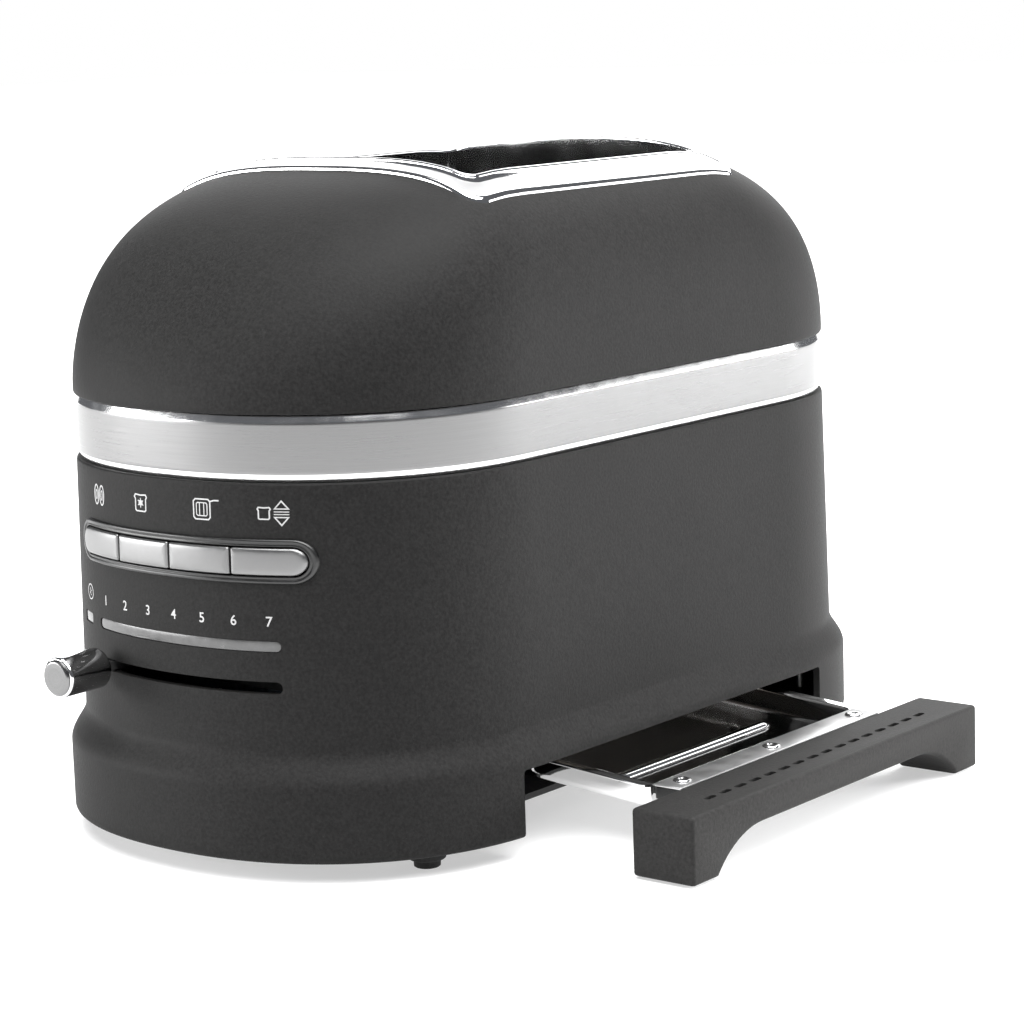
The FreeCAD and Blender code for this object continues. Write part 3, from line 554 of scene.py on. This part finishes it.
# ---- shells ---------------------------------------------------------------------------------------
def lower_housing():
    """Cast housing with a rolled bottom edge, a flared skirt and the panel's openings."""
    outer = [housing_ring(SKIRT + SKIRT_ROLL * (1 - math.cos(a)), SKIRT_ROLL * (1 - math.sin(a)))
             for a in np.linspace(0, math.pi / 2, 6)]
    outer += [housing_ring(z, 0) for z in np.linspace(SKIRT + SKIRT_ROLL + 4, FLARE_LOW - 1.5, 5)]
    outer += [housing_ring(z, 0) for z in np.linspace(FLARE_LOW - 0.5, FLARE_TOP + 1, 26)]
    outer += [housing_ring(z, 0) for z in np.linspace(FLARE_TOP + 3, BAND_LOW - 1.2, 26)]
    outer += [housing_ring(BAND_LOW - 0.5, 0.12), housing_ring(BAND_LOW - 0.05, 0.5)]
    levels = (BAND_LOW - 0.05, FLARE_TOP, FLARE_LOW + 6, FLARE_LOW, SKIRT)
    inner = [housing_ring(z, WALL) for z in levels]
    shell = loft("housing_shell", outer + inner, [PAINT], closed=True)
    mouth = box_mesh(BASE_X * 0.75, BASE_X * 2, -MOUTH_HALF, MOUTH_HALF, -10, MOUTH_TOP)
    mouth = with_modifiers(mouth, "cutter", rounded_edges(MOUTH_CORNER))
    gland_low, gland_high = node_box("cord_gland")
    gland = (gland_low + gland_high) / 2
    bore = [(0, GLAND_HOLE), (BASE_Y, GLAND_HOLE)]
    hole = loft("cutter", lathe((0, BASE_Y * 0.8, gland.z), (0, 1, 0), bore, 48), [], capped=True)
    cutters = [panel_cutter(row_bar, -BEZEL_CUT), panel_cutter(window_bar, 0), panel_cutter(slot_bar, 0),
               panel_cutter(lamp_bar, 0), mouth, hole]
    shell = with_modifiers(shell, "housing_shell", carve(cutters))
    return place("housing_shell", shell, "body", ["lower_housing"], 28)


def trim_band():
    """Brushed band with a polished chamfer along both edges."""
    width, length, depth = housing_size(BAND_LOW)
    profile = [(0, 1.9), (0.15, 1.65), (2.3, 0.78), (2.55, 0.7)]
    profile += [(z, 0.7) for z in np.linspace(3.4, 17.3, 8)]
    profile += [(18.15, 0.7), (18.4, 0.78), (20.55, 1.65), (20.7, 1.9), (20.7, 4.2), (0, 4.2)]
    rings = [outline(width - i, length - i, depth - i, OUTLINE_POWER, BAND_LOW + z) for z, i in profile]
    marks = [1 if z < 2.5 or z > 18.1 else 0 for z, i in profile]
    mesh = loft("trim_band_shell", rings, [BAND, BAND_EDGE], marks, closed=True)
    return place("trim_band_shell", mesh, "body", ["trim_band"], 24)


def dome_shell():
    """Cast dome: rings by height up to the shoulder, then drawn in to the bread opening."""
    shoulder = 0.72
    rings = [housing_ring(BAND_LOW, 0.9), housing_ring(BAND_LOW, 0.35), housing_ring(BAND_LOW, 0.05)]
    for ring, lift in zip(rings, (0.0, 0.12, 0.5)):
        ring[:, 2] = BAND_HIGH + lift
    for rise in np.concatenate([np.linspace(0.012, 0.4, 18), np.linspace(0.42, shoulder, 22)]):
        rings.append(outline(*dome_size(rise), BAND_HIGH + DOME_HEIGHT * rise))
    last = rings[-1][:, :2]
    hole = frame_loop(opening_x + 1.3, opening_y + 1.3, 5.0)
    for share in np.linspace(0, 1, 34)[1:]:
        rings.append(on_dome(last * (1 - share) + hole * share, 0))
    mesh = loft("dome_skin", rings, [PAINT])

    def thicken(holder):
        """Adds the inner wall, at the casting's thickness."""
        solid = holder.modifiers.new("wall", "SOLIDIFY")
        solid.thickness = DOME_WALL * MM
        solid.offset = -1
        solid.use_even_offset = True

    mesh = with_modifiers(mesh, "dome_cover", thicken)
    return place("dome_cover", mesh, "body", ["dome_shell"], 28)


liner_low, liner_high = node_box("slot_liner")
opening_x, opening_y = liner_high.x - LIP_WALL, liner_high.y - LIP_WALL
surround_high = node_box("top_surround")[1]


def top_surround():
    """Pressed frame around the opening: outer bead, shallow valley, inner rise to the lip."""
    profile = [(1.0, -0.3), (1.0, 0.45), (0.985, 0.85), (0.955, 1.15), (0.91, 1.28), (0.86, 1.2),
               (0.82, 0.98), (0.79, 0.8), (0.7, 0.76), (0.5, 0.74), (0.3, 0.78), (0.2, 0.86),
               (0.12, 1.05), (0.05, 1.25), (0.0, 1.3), (0.0, -0.3)]
    rings = []
    for share, lift in profile:
        half_x = opening_x + FRAME_GAP + (surround_high.x - opening_x - FRAME_GAP) * share
        half_y = opening_y + FRAME_GAP + (surround_high.y - opening_y - FRAME_GAP) * share
        corner = FRAME_INNER_CORNER + FRAME_CORNER_GROWTH * share
        rings.append(on_dome(frame_loop(half_x, half_y, corner), lift))
    marks = [0, 0, 0, 0, 0, 0, 0, 1, 1, 1, 1, 0, 0, 0, 0, 0]
    mesh = loft("opening_frame", rings, [POLISHED, FRAME_TOP], marks, closed=True)
    return place("opening_frame", mesh, "body", ["top_surround"], 40)


def slot_liner():
    """Polished lip with a rolled top edge."""
    rolled = [(LIP_WALL, 1.0), (LIP_WALL, 1.6), (1.05, 1.88), (0.75, 2.0), (0.45, 1.98), (0.15, 1.8),
              (0.0, 1.4)]
    rings = []
    for offset, lift in rolled:
        rings.append(on_dome(frame_loop(opening_x + offset, opening_y + offset, LIP_CORNER + offset), lift))
    for offset in (0.0, LIP_WALL):
        loop = frame_loop(opening_x + offset, opening_y + offset, LIP_CORNER + offset)
        stops = (0.0, 0.35, 0.7, 1.0)
        for share in stops if offset == 0.0 else reversed(stops):
            top = on_dome(loop, 1.0)
            ring = top.copy()
            ring[:, 2] = top[:, 2] * (1 - share) + liner_low.z * share
            rings.append(ring)
    mesh = loft("opening_lip", rings, [POLISHED], closed=True)
    return place("opening_lip", mesh, "body", ["slot_liner"], 40)


# ---- front panel ----------------------------------------------------------------------------------
def button_bezel():
    """Satin ring with a rounded rim round the keys."""
    bar = (ROW_LEFT - BEZEL, ROW_RIGHT + BEZEL, ROW_LOW - BEZEL, ROW_HIGH + BEZEL, ROUND, ROUND)
    profile = [(0.0, -0.05), (0.0, 0.45), (0.12, 0.78), (0.35, 0.95), (0.7, 1.0), (1.15, 0.9), (1.35, 0.72),
               (1.55, 0.7), (1.8, 0.86), (2.0, 0.88), (2.15, 0.8), (2.28, 0.5), (2.28, -4.8), (1.2, -4.8),
               (1.2, -0.05)]
    rings = [[along_y(x, z, out) for x, z in panel_loop(*bar, inset)] for inset, out in profile]
    mesh = loft("key_bezel", rings, [SATIN], closed=True)
    return place("key_bezel", mesh, "body", ["button_bezel"], 40)


def push_buttons():
    """Four pillowed keys with rolled edges, curved with the wall."""
    for name, (low, high) in zip(KEYS, button_boxes):
        left = ROUND if name == KEYS[0] else KEY_CORNER
        right = ROUND if name == KEYS[-1] else KEY_CORNER
        bar = (low.x, high.x, ROW_LOW, ROW_HIGH, left, right)
        profile = [(0.25, -4.6), (0.05, -4.4), (0.0, 0.6), (0.06, 1.0), (0.2, 1.28), (0.42, 1.46),
                   (0.75, 1.57), (1.3, 1.64), (2.2, 1.68)]
        panel_piece("key_" + name, bar, profile, BUTTON, name + "_button",
                    ["button_" + name], along_y)


def windows():
    """Countdown lens and keep-warm lens, each held by a flange behind the wall."""
    lens = [(-FLANGE, -WALL - 1.0), (-FLANGE, -WALL), (FIT, -WALL), (FIT, -0.5), (0.22, -0.3), (0.5, -0.22)]
    panel_piece("countdown_lens", window_bar, lens, LENS, "body", ["display_window"])
    panel_piece("keep_warm_lens", lamp_bar, lens, LAMP, "body", ["lamp_window"])


ICON_LEVEL = 114.4
DIGITS, DIGITS_FROM, DIGIT_PITCH = 7, -31.9, 11.5
DIGIT_LEVEL, DIGIT_SIZE = 79.3, 4.4


def stroke(points, width, closed=True):
    """Flat ribbon along a line of (x, z) points, as (outline pairs)."""
    count = len(points)
    pairs = []
    for i, (x, z) in enumerate(points):
        before = points[i - 1] if closed or i else points[i]
        after = points[(i + 1) % count] if closed or i < count - 1 else points[i]
        ax, az = x - before[0], z - before[1]
        bx, bz = after[0] - x, after[1] - z
        la, lb = math.hypot(ax, az) or 1.0, math.hypot(bx, bz) or 1.0
        nx, nz = -(az / la + bz / lb), ax / la + bx / lb
        size = math.hypot(nx, nz) or 1.0
        nx, nz = nx / size, nz / size
        share = max(abs(nx * -az / la + nz * ax / la) if la and (ax or az) else 1.0, 0.5)
        half = width / 2 / share
        pairs.append(((x + nx * half, z + nz * half), (x - nx * half, z - nz * half)))
    return pairs, closed


def curve_points(radius_x, radius_z, x, z, start=0, end=360, count=28):
    """Points round an ellipse."""
    steps = count if end - start < 360 else count + 1
    angles = [math.radians(start + (end - start) * i / count) for i in range(steps)]
    if end - start >= 360:
        angles = angles[:-1]
    return [(x + radius_x * math.cos(a), z + radius_z * math.sin(a)) for a in angles]


def slice_points(x, z, half_x, half_z):
    """Outline of a bread slice: a square with a crown of two lobes."""
    waist = half_z * 0.42
    crown = [(half_x * 1.1, waist + (half_z - waist) * 0.5), (half_x * 0.9, half_z), (0.0, half_z * 0.92),
             (-half_x * 0.9, half_z), (-half_x * 1.1, waist + (half_z - waist) * 0.5)]
    base = [(-half_x * 0.92, waist), (-half_x * 0.92, -half_z * 0.85), (-half_x * 0.75, -half_z),
            (half_x * 0.75, -half_z), (half_x * 0.92, -half_z * 0.85), (half_x * 0.92, waist)]
    return [(x + px, z + pz) for px, pz in crown + base]


def icon_strokes():
    """Every line of the panel's pictograms: split bagel, frozen slice, sandwich cage, lift and stop."""
    level = ICON_LEVEL
    lines = []
    thin, line = 0.3, 0.42
    for side in (-1, 1):
        x = -33.6 + side * 1.75
        lines.append(stroke(curve_points(1.35, 3.1, x, level), line))
        lines.append(stroke(curve_points(0.5, 1.5, x, level, count=16), thin))
    x = -10.3
    lines.append(stroke(slice_points(x, level, 2.6, 2.6), line))
    for turn in (30, 90, 150):
        dx, dz = 1.4 * math.cos(math.radians(turn)), 1.5 * math.sin(math.radians(turn))
        lines.append(stroke([(x - dx, level + dz), (x + dx, level - dz)], thin, False))
    lines.append(stroke(curve_points(0.75, 0.75, x, level, count=12), thin))
    x = 15.6
    for half, radius in ((3.1, 0.7), (2.0, 0.4)):
        loop = []
        for sx, sz in ((1, 1), (1, -1), (-1, -1), (-1, 1)):
            corner = [(sx * half, sz * (half - radius)), (sx * (half - radius), sz * half)]
            corner = corner if sx * sz < 0 else corner[::-1]
            loop += [(x + px, level + pz) for px, pz in corner]
        lines.append(stroke(loop, line if half > 3 else thin))
    lines.append(stroke([(x - 0.8, level + 1.9), (x - 0.8, level - 1.9)], thin, False))
    lines.append(stroke([(x + 0.8, level + 1.9), (x + 0.8, level - 1.9)], thin, False))
    tail = [(x + 3.1, level + 2.5), (x + 4.6, level + 2.9), (x + 6.3, level + 2.9)]
    lines.append(stroke(tail, line, False))
    x = 36.6
    lines.append(stroke(slice_points(x, level - 0.4, 1.8, 1.8), line))
    x = 41.8
    lines.append(stroke([(x - 2.0, level + 1.0), (x, level + 3.4), (x + 2.0, level + 1.0)], line))
    lines.append(stroke([(x - 2.0, level - 1.6), (x, level - 4.0), (x + 2.0, level - 1.6)], line))
    for dz in (0.1, -0.7):
        lines.append(stroke([(x - 2.2, level + dz), (x + 2.2, level + dz)], thin, False))
    x, z = -43.8, 81.7
    lines.append(stroke(curve_points(2.3, 2.4, x, z), thin))
    bolt = [(x - 0.5, z + 1.2), (x + 0.3, z + 0.3), (x - 0.3, z - 0.3), (x + 0.5, z - 1.2)]
    lines.append(stroke(bolt, thin, False))
    return lines


def panel_print():
    """Pictograms and shade numbers, printed as thin raised ink."""
    back, face = -0.05, 0.07
    shape = bmesh.new()
    for pairs, closed in icon_strokes():
        columns = []
        for a, b in pairs:
            columns.append([shape.verts.new(on_front(p[0], p[1], out))
                            for p in (a, b) for out in (back, face)])
        spans = len(columns) if closed else len(columns) - 1
        for i in range(spans):
            s, t = columns[i], columns[(i + 1) % len(columns)]
            for m, n in ((0, 1), (1, 3), (3, 2), (2, 0)):
                shape.faces.new((s[m], s[n], t[n], t[m]))
        if not closed:
            for s in (columns[0], columns[-1]):
                shape.faces.new((s[0], s[1], s[3], s[2]))
    for index in range(DIGITS):
        text = bpy.data.curves.new("digit", "FONT")
        text.body = str(index + 1)
        text.size = DIGIT_SIZE
        text.align_x = "CENTER"
        text.extrude = 0.06
        text.offset = 0.03
        holder = bpy.data.objects.new("digit", text)
        bpy.context.scene.collection.objects.link(holder)
        graph = bpy.context.evaluated_depsgraph_get()
        digit = bpy.data.meshes.new_from_object(holder.evaluated_get(graph), depsgraph=graph)
        bpy.data.objects.remove(holder)
        x0 = DIGITS_FROM + DIGIT_PITCH * index
        start = len(shape.verts)
        shape.from_mesh(digit)
        shape.verts.ensure_lookup_table()
        for vertex in shape.verts[start:]:
            vertex.co = on_front(x0 + vertex.co.x, DIGIT_LEVEL + vertex.co.y, vertex.co.z + 0.01)
    bmesh.ops.recalc_face_normals(shape, faces=shape.faces)
    for vertex in shape.verts:
        vertex.co *= MM
    mesh = bpy.data.meshes.new("panel_print")
    shape.to_mesh(mesh)
    shape.free()
    mesh.materials.append(PRINT)
    place("panel_print", mesh, "body", (), 30)


def shade_knob():
    """Turned barrel in smoked chrome with a bright bevelled cap."""
    low, high = node_box("shade_knob")
    centre = (low + high) / 2
    radius = (high.z - low.z) / 2
    y1 = high.y
    length = high.y - low.y + KNOB_REACH
    profile = [(0.0, 0.0), (0.0, radius - 1.0), (0.3, radius - 0.4), (0.9, radius - 0.05), (1.5, radius),
               (length * 0.5, radius), (length - 0.9, radius), (length - 0.3, radius - 0.18),
               (length, radius - 0.6), (length, 0.0)]
    rings = lathe((centre.x, y1, centre.z), (0, -1, 0), profile)
    mesh = loft("knob_barrel", rings, [SMOKED])
    place("knob_barrel", mesh, "shade_slider", ["shade_knob"], 40)
    low, high = node_box("knob_cap")
    radius = (high.z - low.z) / 2
    thick = high.y - low.y
    profile = [(0.0, 0.0), (0.0, radius), (thick * 0.35, radius), (thick * 0.7, radius - 0.35),
               (thick * 0.95, radius - 0.75), (thick, radius - 1.0), (thick * 0.96, radius * 0.5),
               (thick * 0.95, 0.0)]
    rings = lathe((centre.x, high.y - KNOB_REACH, centre.z), (0, -1, 0), profile)
    mesh = loft("knob_face", rings, [CAP])
    place("knob_face", mesh, "shade_slider", ["knob_cap"], 40)


# ---- crumb tray -----------------------------------------------------------------------------------
handle_low, handle_high = node_box("tray_handle")
rivet_low, rivet_high = node_box("tray_rivets")
HANDLE_DEPTH = 22.8
HANDLE_IN = handle_high.x - HANDLE_DEPTH
TRAY_SLOPE = math.radians(4.5)
PAN_HALF = 57.6
PAN_LENGTH, PAN_DEPTH, PAN_SHEET = 116.0, 9.0, 0.8
PAN_LIP = 3.6
PAN_START = 10.3
PAN_RIBS = (0.22, 0.5, 0.78)
RIB_HALF, RIB_WIDTH, RIB_HEIGHT = 44.0, 2.6, 2.0
ARCH_RUN, ARCH_RISE, LEG_LENGTH = 24.6, 11.5, 13.4
VENTS, VENT_PITCH, VENT_INSET = 16, 8.2, 9.3
VENT_RADIUS, VENT_STRAIGHT = 1.15, 1.6
RIVET_SPACING = 50.0
FOOT_INSET = 6.0


def tray_handle():
    """Painted bar with an arch, soft corners and a row of round-ended vents."""
    half, leg, run, rise = handle_high.y, handle_high.y - LEG_LENGTH, ARCH_RUN, ARCH_RISE
    z0, z1 = handle_low.z, handle_high.z
    radius = (run ** 2 + rise ** 2) / (2 * rise)
    sweep = math.asin(run / radius)
    arch = []
    for i in range(13):
        angle = sweep * (1 - i / 12)
        arch.append((leg - run + radius * math.sin(angle), z0 + rise - radius * (1 - math.cos(angle))))
    right = [(half, z1), (half, z0)] + arch
    points = right + [(-y, z) for y, z in reversed(right)]
    rings = [[(x, y, z) for y, z in points] for x in (HANDLE_IN, handle_high.x)]
    bar = loft("handle_bar", rings, [HANDLE_PAINT], capped=True)
    vents = []
    for i in range(VENTS):
        y = (i - (VENTS - 1) / 2) * VENT_PITCH
        loop = []
        for turn in range(20):
            angle = 2 * math.pi * turn / 20
            end = VENT_STRAIGHT if math.sin(angle) > 0 else -VENT_STRAIGHT
            loop.append((handle_high.x - VENT_INSET + VENT_RADIUS * math.cos(angle),
                         y + end + VENT_RADIUS * math.sin(angle)))
        ends = [[(x, v, z) for x, v in loop] for z in (z1 - 6, z1 + 2)]
        vents.append(loft("cutter", ends, [], capped=True))
    bar = with_modifiers(bar, "handle_bar", rounded_edges(1.3, 4, 50))
    bar = with_modifiers(bar, "handle_bar", carve(vents))
    place("handle_bar", bar, "crumb_tray", ["tray_handle"], 35)
    top = z1 - 0.8
    rounded_box("handle_ledge", (HANDLE_IN - 10, -PAN_HALF, top - 4), (HANDLE_IN + 1, PAN_HALF, top), 0.5,
                BLACK, "crumb_tray")


def tray_pan():
    """Pressed pan: flat flange, rolled lips, soft-cornered box with three ribs."""
    top, sheet, depth, length = handle_high.z, PAN_SHEET, PAN_DEPTH, PAN_LENGTH
    x1 = HANDLE_IN - PAN_START

    def tilted(x, y, z):
        """Point of the level pan, turned down by the tray's slope."""
        dx, dz = x - x1, z - top
        return (x1 + dx * math.cos(TRAY_SLOPE) + dz * math.sin(TRAY_SLOPE), y,
                top - dx * math.sin(TRAY_SLOPE) + dz * math.cos(TRAY_SLOPE))

    def loop(inset, level, corner, lip=0.0):
        """Soft-cornered rectangle of 36 points, inset from the pan's plan and widened along Y by a lip."""
        half_x, half_y = length / 2 - inset, PAN_HALF - inset + lip
        middle = x1 - length / 2
        ring = []
        for k in range(36):
            quad, share = divmod(k, 9)
            angle = math.radians(90 * quad + 90 * share / 8)
            sx, sy = ((1, 1), (-1, 1), (-1, -1), (1, -1))[quad]
            ring.append(tilted(middle + sx * (half_x - corner) + corner * math.cos(angle),
                               sy * (half_y - corner) + corner * math.sin(angle), top + level))
        return ring

    rings = [loop(0.0, -sheet, 3.0, PAN_LIP - 0.2), loop(0.0, -0.4, 3.2, PAN_LIP),
             loop(0.0, 0.0, 3.0, PAN_LIP - 0.2), loop(0.0, 0.0, 2.6, 0.4), loop(0.5, -0.15, 2.6),
             loop(0.9, -0.8, 2.6), loop(1.1, -depth + 2.6, 2.6), loop(1.6, -depth + 1.4, 2.8),
             loop(2.8, -depth + sheet, 3.2), loop(14, -depth + sheet, 3.0)]
    under = [loop(14, -depth, 3.0), loop(2.2, -depth, 3.2), loop(0.8, -depth + 0.8, 3.0),
             loop(0.2, -depth + 2.6, 3.0), loop(0.1, -sheet, 3.0, 0.2)]
    marks = [0, 0, 0, 0, 0] + [1] * (len(rings) - 5)
    mesh = loft("crumb_pan", rings, [POLISHED, PAN_STEEL], marks)
    shape = bmesh.new()
    shape.from_mesh(mesh)
    shape.verts.ensure_lookup_table()
    count = 36
    last = [shape.verts[(len(rings) - 1) * count + k] for k in range(count)]
    first = [shape.verts[k] for k in range(count)]
    floor = shape.faces.new(last)
    floor.smooth = True
    floor.material_index = 1
    below = []
    for ring in under:
        below.append([shape.verts.new(Vector(p) * MM) for p in ring])
    shape.faces.new(list(reversed(below[0])))
    for a, b in zip(below, below[1:]):
        for k in range(count):
            j = (k + 1) % count
            shape.faces.new((a[k], a[j], b[j], b[k]))
    for k in range(count):
        j = (k + 1) % count
        shape.faces.new((below[-1][k], below[-1][j], first[j], first[k]))
    bmesh.ops.recalc_face_normals(shape, faces=shape.faces)
    shape.to_mesh(mesh)
    shape.free()
    place("crumb_pan", mesh, "crumb_tray", ["tray_pan"], 50)
    for index, share in enumerate(PAN_RIBS):
        x = x1 - share * length
        rings = []
        for k in range(-22, 23):
            y = RIB_HALF * k / 22
            fade = math.sqrt(max(1 - (max(abs(y) - 41.0, 0) / 3.2) ** 2, 0.02))
            ring = []
            for m in range(17):
                angle = math.pi * m / 16
                ring.append(tilted(x + RIB_WIDTH * fade * math.cos(angle), y,
                                   top - depth + sheet - 0.05 + RIB_HEIGHT * fade * math.sin(angle)))
            rings.append(ring)
        mesh = loft("pan_rib", rings, [POLISHED], capped=True)
        place("pan_rib_%d" % (index + 1), mesh, "crumb_tray", (), 60)
    rounded_box("pan_flange", (x1 - 0.3, -PAN_HALF, top - sheet), (HANDLE_IN - 0.02, PAN_HALF, top), 0.3,
                FLANGE_STEEL, "crumb_tray")


def tray_rivets():
    """Domed rivet heads with a struck dimple."""
    z = rivet_high.z
    x = (rivet_low.x + rivet_high.x) / 2
    for index, y in enumerate((-RIVET_SPACING, 0.0, RIVET_SPACING)):
        profile = [(-4.8, 0.0), (-4.8, 1.5), (-0.8, 1.5), (-0.8, 3.0), (-0.55, 3.0), (-0.25, 2.8),
                   (-0.05, 2.3), (0.0, 1.7), (-0.1, 1.3), (-0.42, 0.9), (-0.5, 0.45), (-0.52, 0.0)]
        mesh = loft("tray_rivet", lathe((x, y, z), (0, 0, 1), profile, 40), [BRIGHT])
        place("tray_rivet_%d" % (index + 1), mesh, "crumb_tray",
              ["tray_rivets"] if index == 0 else (), 35)


def feet():
    """Four stepped feet with soft rims and a moulded grip ring."""
    low, high = node_box("rubber_feet")
    across, along = high.x - FOOT_INSET, high.y - FOOT_INSET
    for index, (sx, sy) in enumerate(((-1, -1), (1, -1), (-1, 1), (1, 1))):
        profile = [(0.25, 0.0), (0.25, 2.6), (0.0, 2.8), (0.0, 3.8), (0.3, 4.2), (2.2, 4.3), (2.5, 4.4),
                   (2.6, 5.6), (2.9, 5.95), (3.4, 6.0), (8.0, 6.0), (8.5, 5.7), (8.5, 0.0)]
        mesh = loft("foot", lathe((sx * across, sy * along, low.z), (0, 0, 1), profile, 56), [RUBBER])
        place("foot_%d" % (index + 1), mesh, "body", ["rubber_feet"] if index == 0 else (), 35)


# ---- finishes of the CAD nodes that stay -----------------------------------------------------------
def finish_nodes():
    """Gives every CAD node that still shows its finish."""
    finishes = {}
    for material, names in (
            (BLACK, "base_plate cord_gland lift_carriage tray_rails power_parts"),
            (ZINC, "tie_screws top_bracket lift_motor"),
            (BRIGHT, "chamber_end_front chamber_end_rear reflector_left reflector_right guide_rods "
                     "lead_screw"),
            (MICA, "heater_card_left heater_card_centre heater_card_right"),
            (HEATING, "heater_elements"),
            (POLISHED, "centre_bridge"),
            (WIRE, "guard_left_outer guard_left_inner guard_right_inner guard_right_outer "
                   "bread_rack_left bread_rack_right"),
            (BOARD, "control_board power_board"),
            (RUBBER, "switch_mat"),
            (GLOSS_BLACK, "slider_track shade_lever")):
        for name in names.split():
            finishes[name] = material
    for name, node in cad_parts.items():
        material = finishes.get(name)
        if material is None:
            continue
        node.data.materials.clear()
        node.data.materials.append(material)


# ---- stage ----------------------------------------------------------------------------------------
# name, place, aim, size (metres), watts, whether polished metal mirrors it
LIGHTS = (
    ("left_softbox", (-2.0, -1.6, 0.5), (0, 0, 0.12), (1.5, 0.9), 54, True),
    ("left_fill", (-2.1, -1.5, 0.5), (0, 0, 0.12), (1.5, 0.9), 26, False),
    ("right_softbox", (1.7, 2.3, 0.5), (0, 0, 0.12), (1.6, 0.9), 14, True),
    ("right_fill", (1.6, 2.4, 0.5), (0, 0, 0.12), (1.6, 0.9), 320, False),
    ("top_softbox", (0.2, -0.1, 1.5), (0, 0, 0.2), (1.3, 1.3), 18, True),
    ("back_card", (-0.9, 1.6, 1.05), (0, 0, 0.2), (2.6, 1.2), 32, True),
)
FLOOR_HALF = 9000


def area_light(name, place_at, aim, size, power, mirrored):
    """Rectangular soft light aimed at a point; one that isn't mirrored leaves polished metal alone."""
    lamp = bpy.data.lights.new(name, "AREA")
    lamp.shape = "RECTANGLE"
    lamp.size, lamp.size_y = size
    lamp.energy = power
    holder = bpy.data.objects.new(name, lamp)
    holder.visible_camera = False
    holder.visible_glossy = mirrored
    holder.location = place_at
    holder.rotation_mode = "QUATERNION"
    holder.rotation_quaternion = (Vector(aim) - Vector(place_at)).to_track_quat("-Z", "Y")
    bpy.context.scene.collection.objects.link(holder)


def studio():
    """Pale floor and surroundings, a wide overhead sun, and the soft lights in LIGHTS."""
    points = [(x, y, 0.0) for x in (-FLOOR_HALF, FLOOR_HALF) for y in (-FLOOR_HALF, FLOOR_HALF)]
    n = Nodes("studio_floor")
    cloud = n.noise(n.object_coords, 3.0, 2.0)
    n.link(n.blend(cloud, grey(0.5), grey(0.54)), n.shader.inputs["Base Color"])
    n.set(Roughness=0.9, Specular_IOR_Level=0.1, Emission_Color=(1, 1, 1, 1), Emission_Strength=0.5)
    mesh = mesh_of("studio_floor", points, [(0, 1, 3, 2)], [n.material])
    floor = bpy.data.objects.new("studio_floor", mesh)
    bpy.context.scene.collection.objects.link(floor)
    world = bpy.data.worlds.new("studio")
    world.use_nodes = True
    tree = world.node_tree
    shown = tree.nodes["Background"]
    shown.inputs["Color"].default_value = (1, 1, 1, 1)
    shown.inputs["Strength"].default_value = 1.0
    unseen = tree.nodes.new("ShaderNodeBackground")
    unseen.inputs["Color"].default_value = (0.9, 0.93, 1.0, 1)
    unseen.inputs["Strength"].default_value = 0.14
    path = tree.nodes.new("ShaderNodeLightPath")
    mix = tree.nodes.new("ShaderNodeMixShader")
    tree.links.new(path.outputs["Is Camera Ray"], mix.inputs[0])
    tree.links.new(unseen.outputs[0], mix.inputs[1])
    tree.links.new(shown.outputs[0], mix.inputs[2])
    tree.links.new(mix.outputs[0], tree.nodes["World Output"].inputs[0])
    bpy.context.scene.world = world
    sun = bpy.data.lights.new("overhead", "SUN")
    sun.energy = 6.8
    sun.angle = math.radians(70)
    holder = bpy.data.objects.new("overhead", sun)
    holder.rotation_euler = (math.radians(8), math.radians(14), 0)
    bpy.context.scene.collection.objects.link(holder)
    for name, place_at, aim, size, power, mirrored in LIGHTS:
        area_light(name, place_at, aim, size, power, mirrored)


def camera():
    """Camera at the photograph's viewing angle."""
    azimuth, elevation, roll = (math.radians(a) for a in (39.142, 9.590, -1.946))
    distance = 1.0098
    target = Vector((0.01483, -0.00295, 0.093385))
    back = Vector((math.sin(azimuth) * math.cos(elevation), -math.cos(azimuth) * math.cos(elevation),
                   math.sin(elevation)))
    right = Vector((0, 0, 1)).cross(back).normalized()
    up = back.cross(right)
    turned_right = right * math.cos(roll) + up * math.sin(roll)
    turned_up = up * math.cos(roll) - right * math.sin(roll)
    data = bpy.data.cameras.new("camera")
    data.lens = 103.52
    data.sensor_width = 36.0
    data.shift_x = 0.01268
    data.shift_y = -0.00621
    data.clip_start, data.clip_end = 0.05, 60.0
    holder = bpy.data.objects.new("camera", data)
    bpy.context.scene.collection.objects.link(holder)
    pose = Matrix((turned_right, turned_up, back)).transposed().to_4x4()
    pose.translation = target + back * distance
    holder.matrix_world = pose
    bpy.context.scene.camera = holder


lower_housing()
trim_band()
dome_shell()
top_surround()
slot_liner()
button_bezel()
push_buttons()
windows()
panel_print()
shade_knob()
tray_handle()
tray_pan()
tray_rivets()
feet()
finish_nodes()
studio()
camera()
bpy.context.scene.view_settings.view_transform = "Standard"
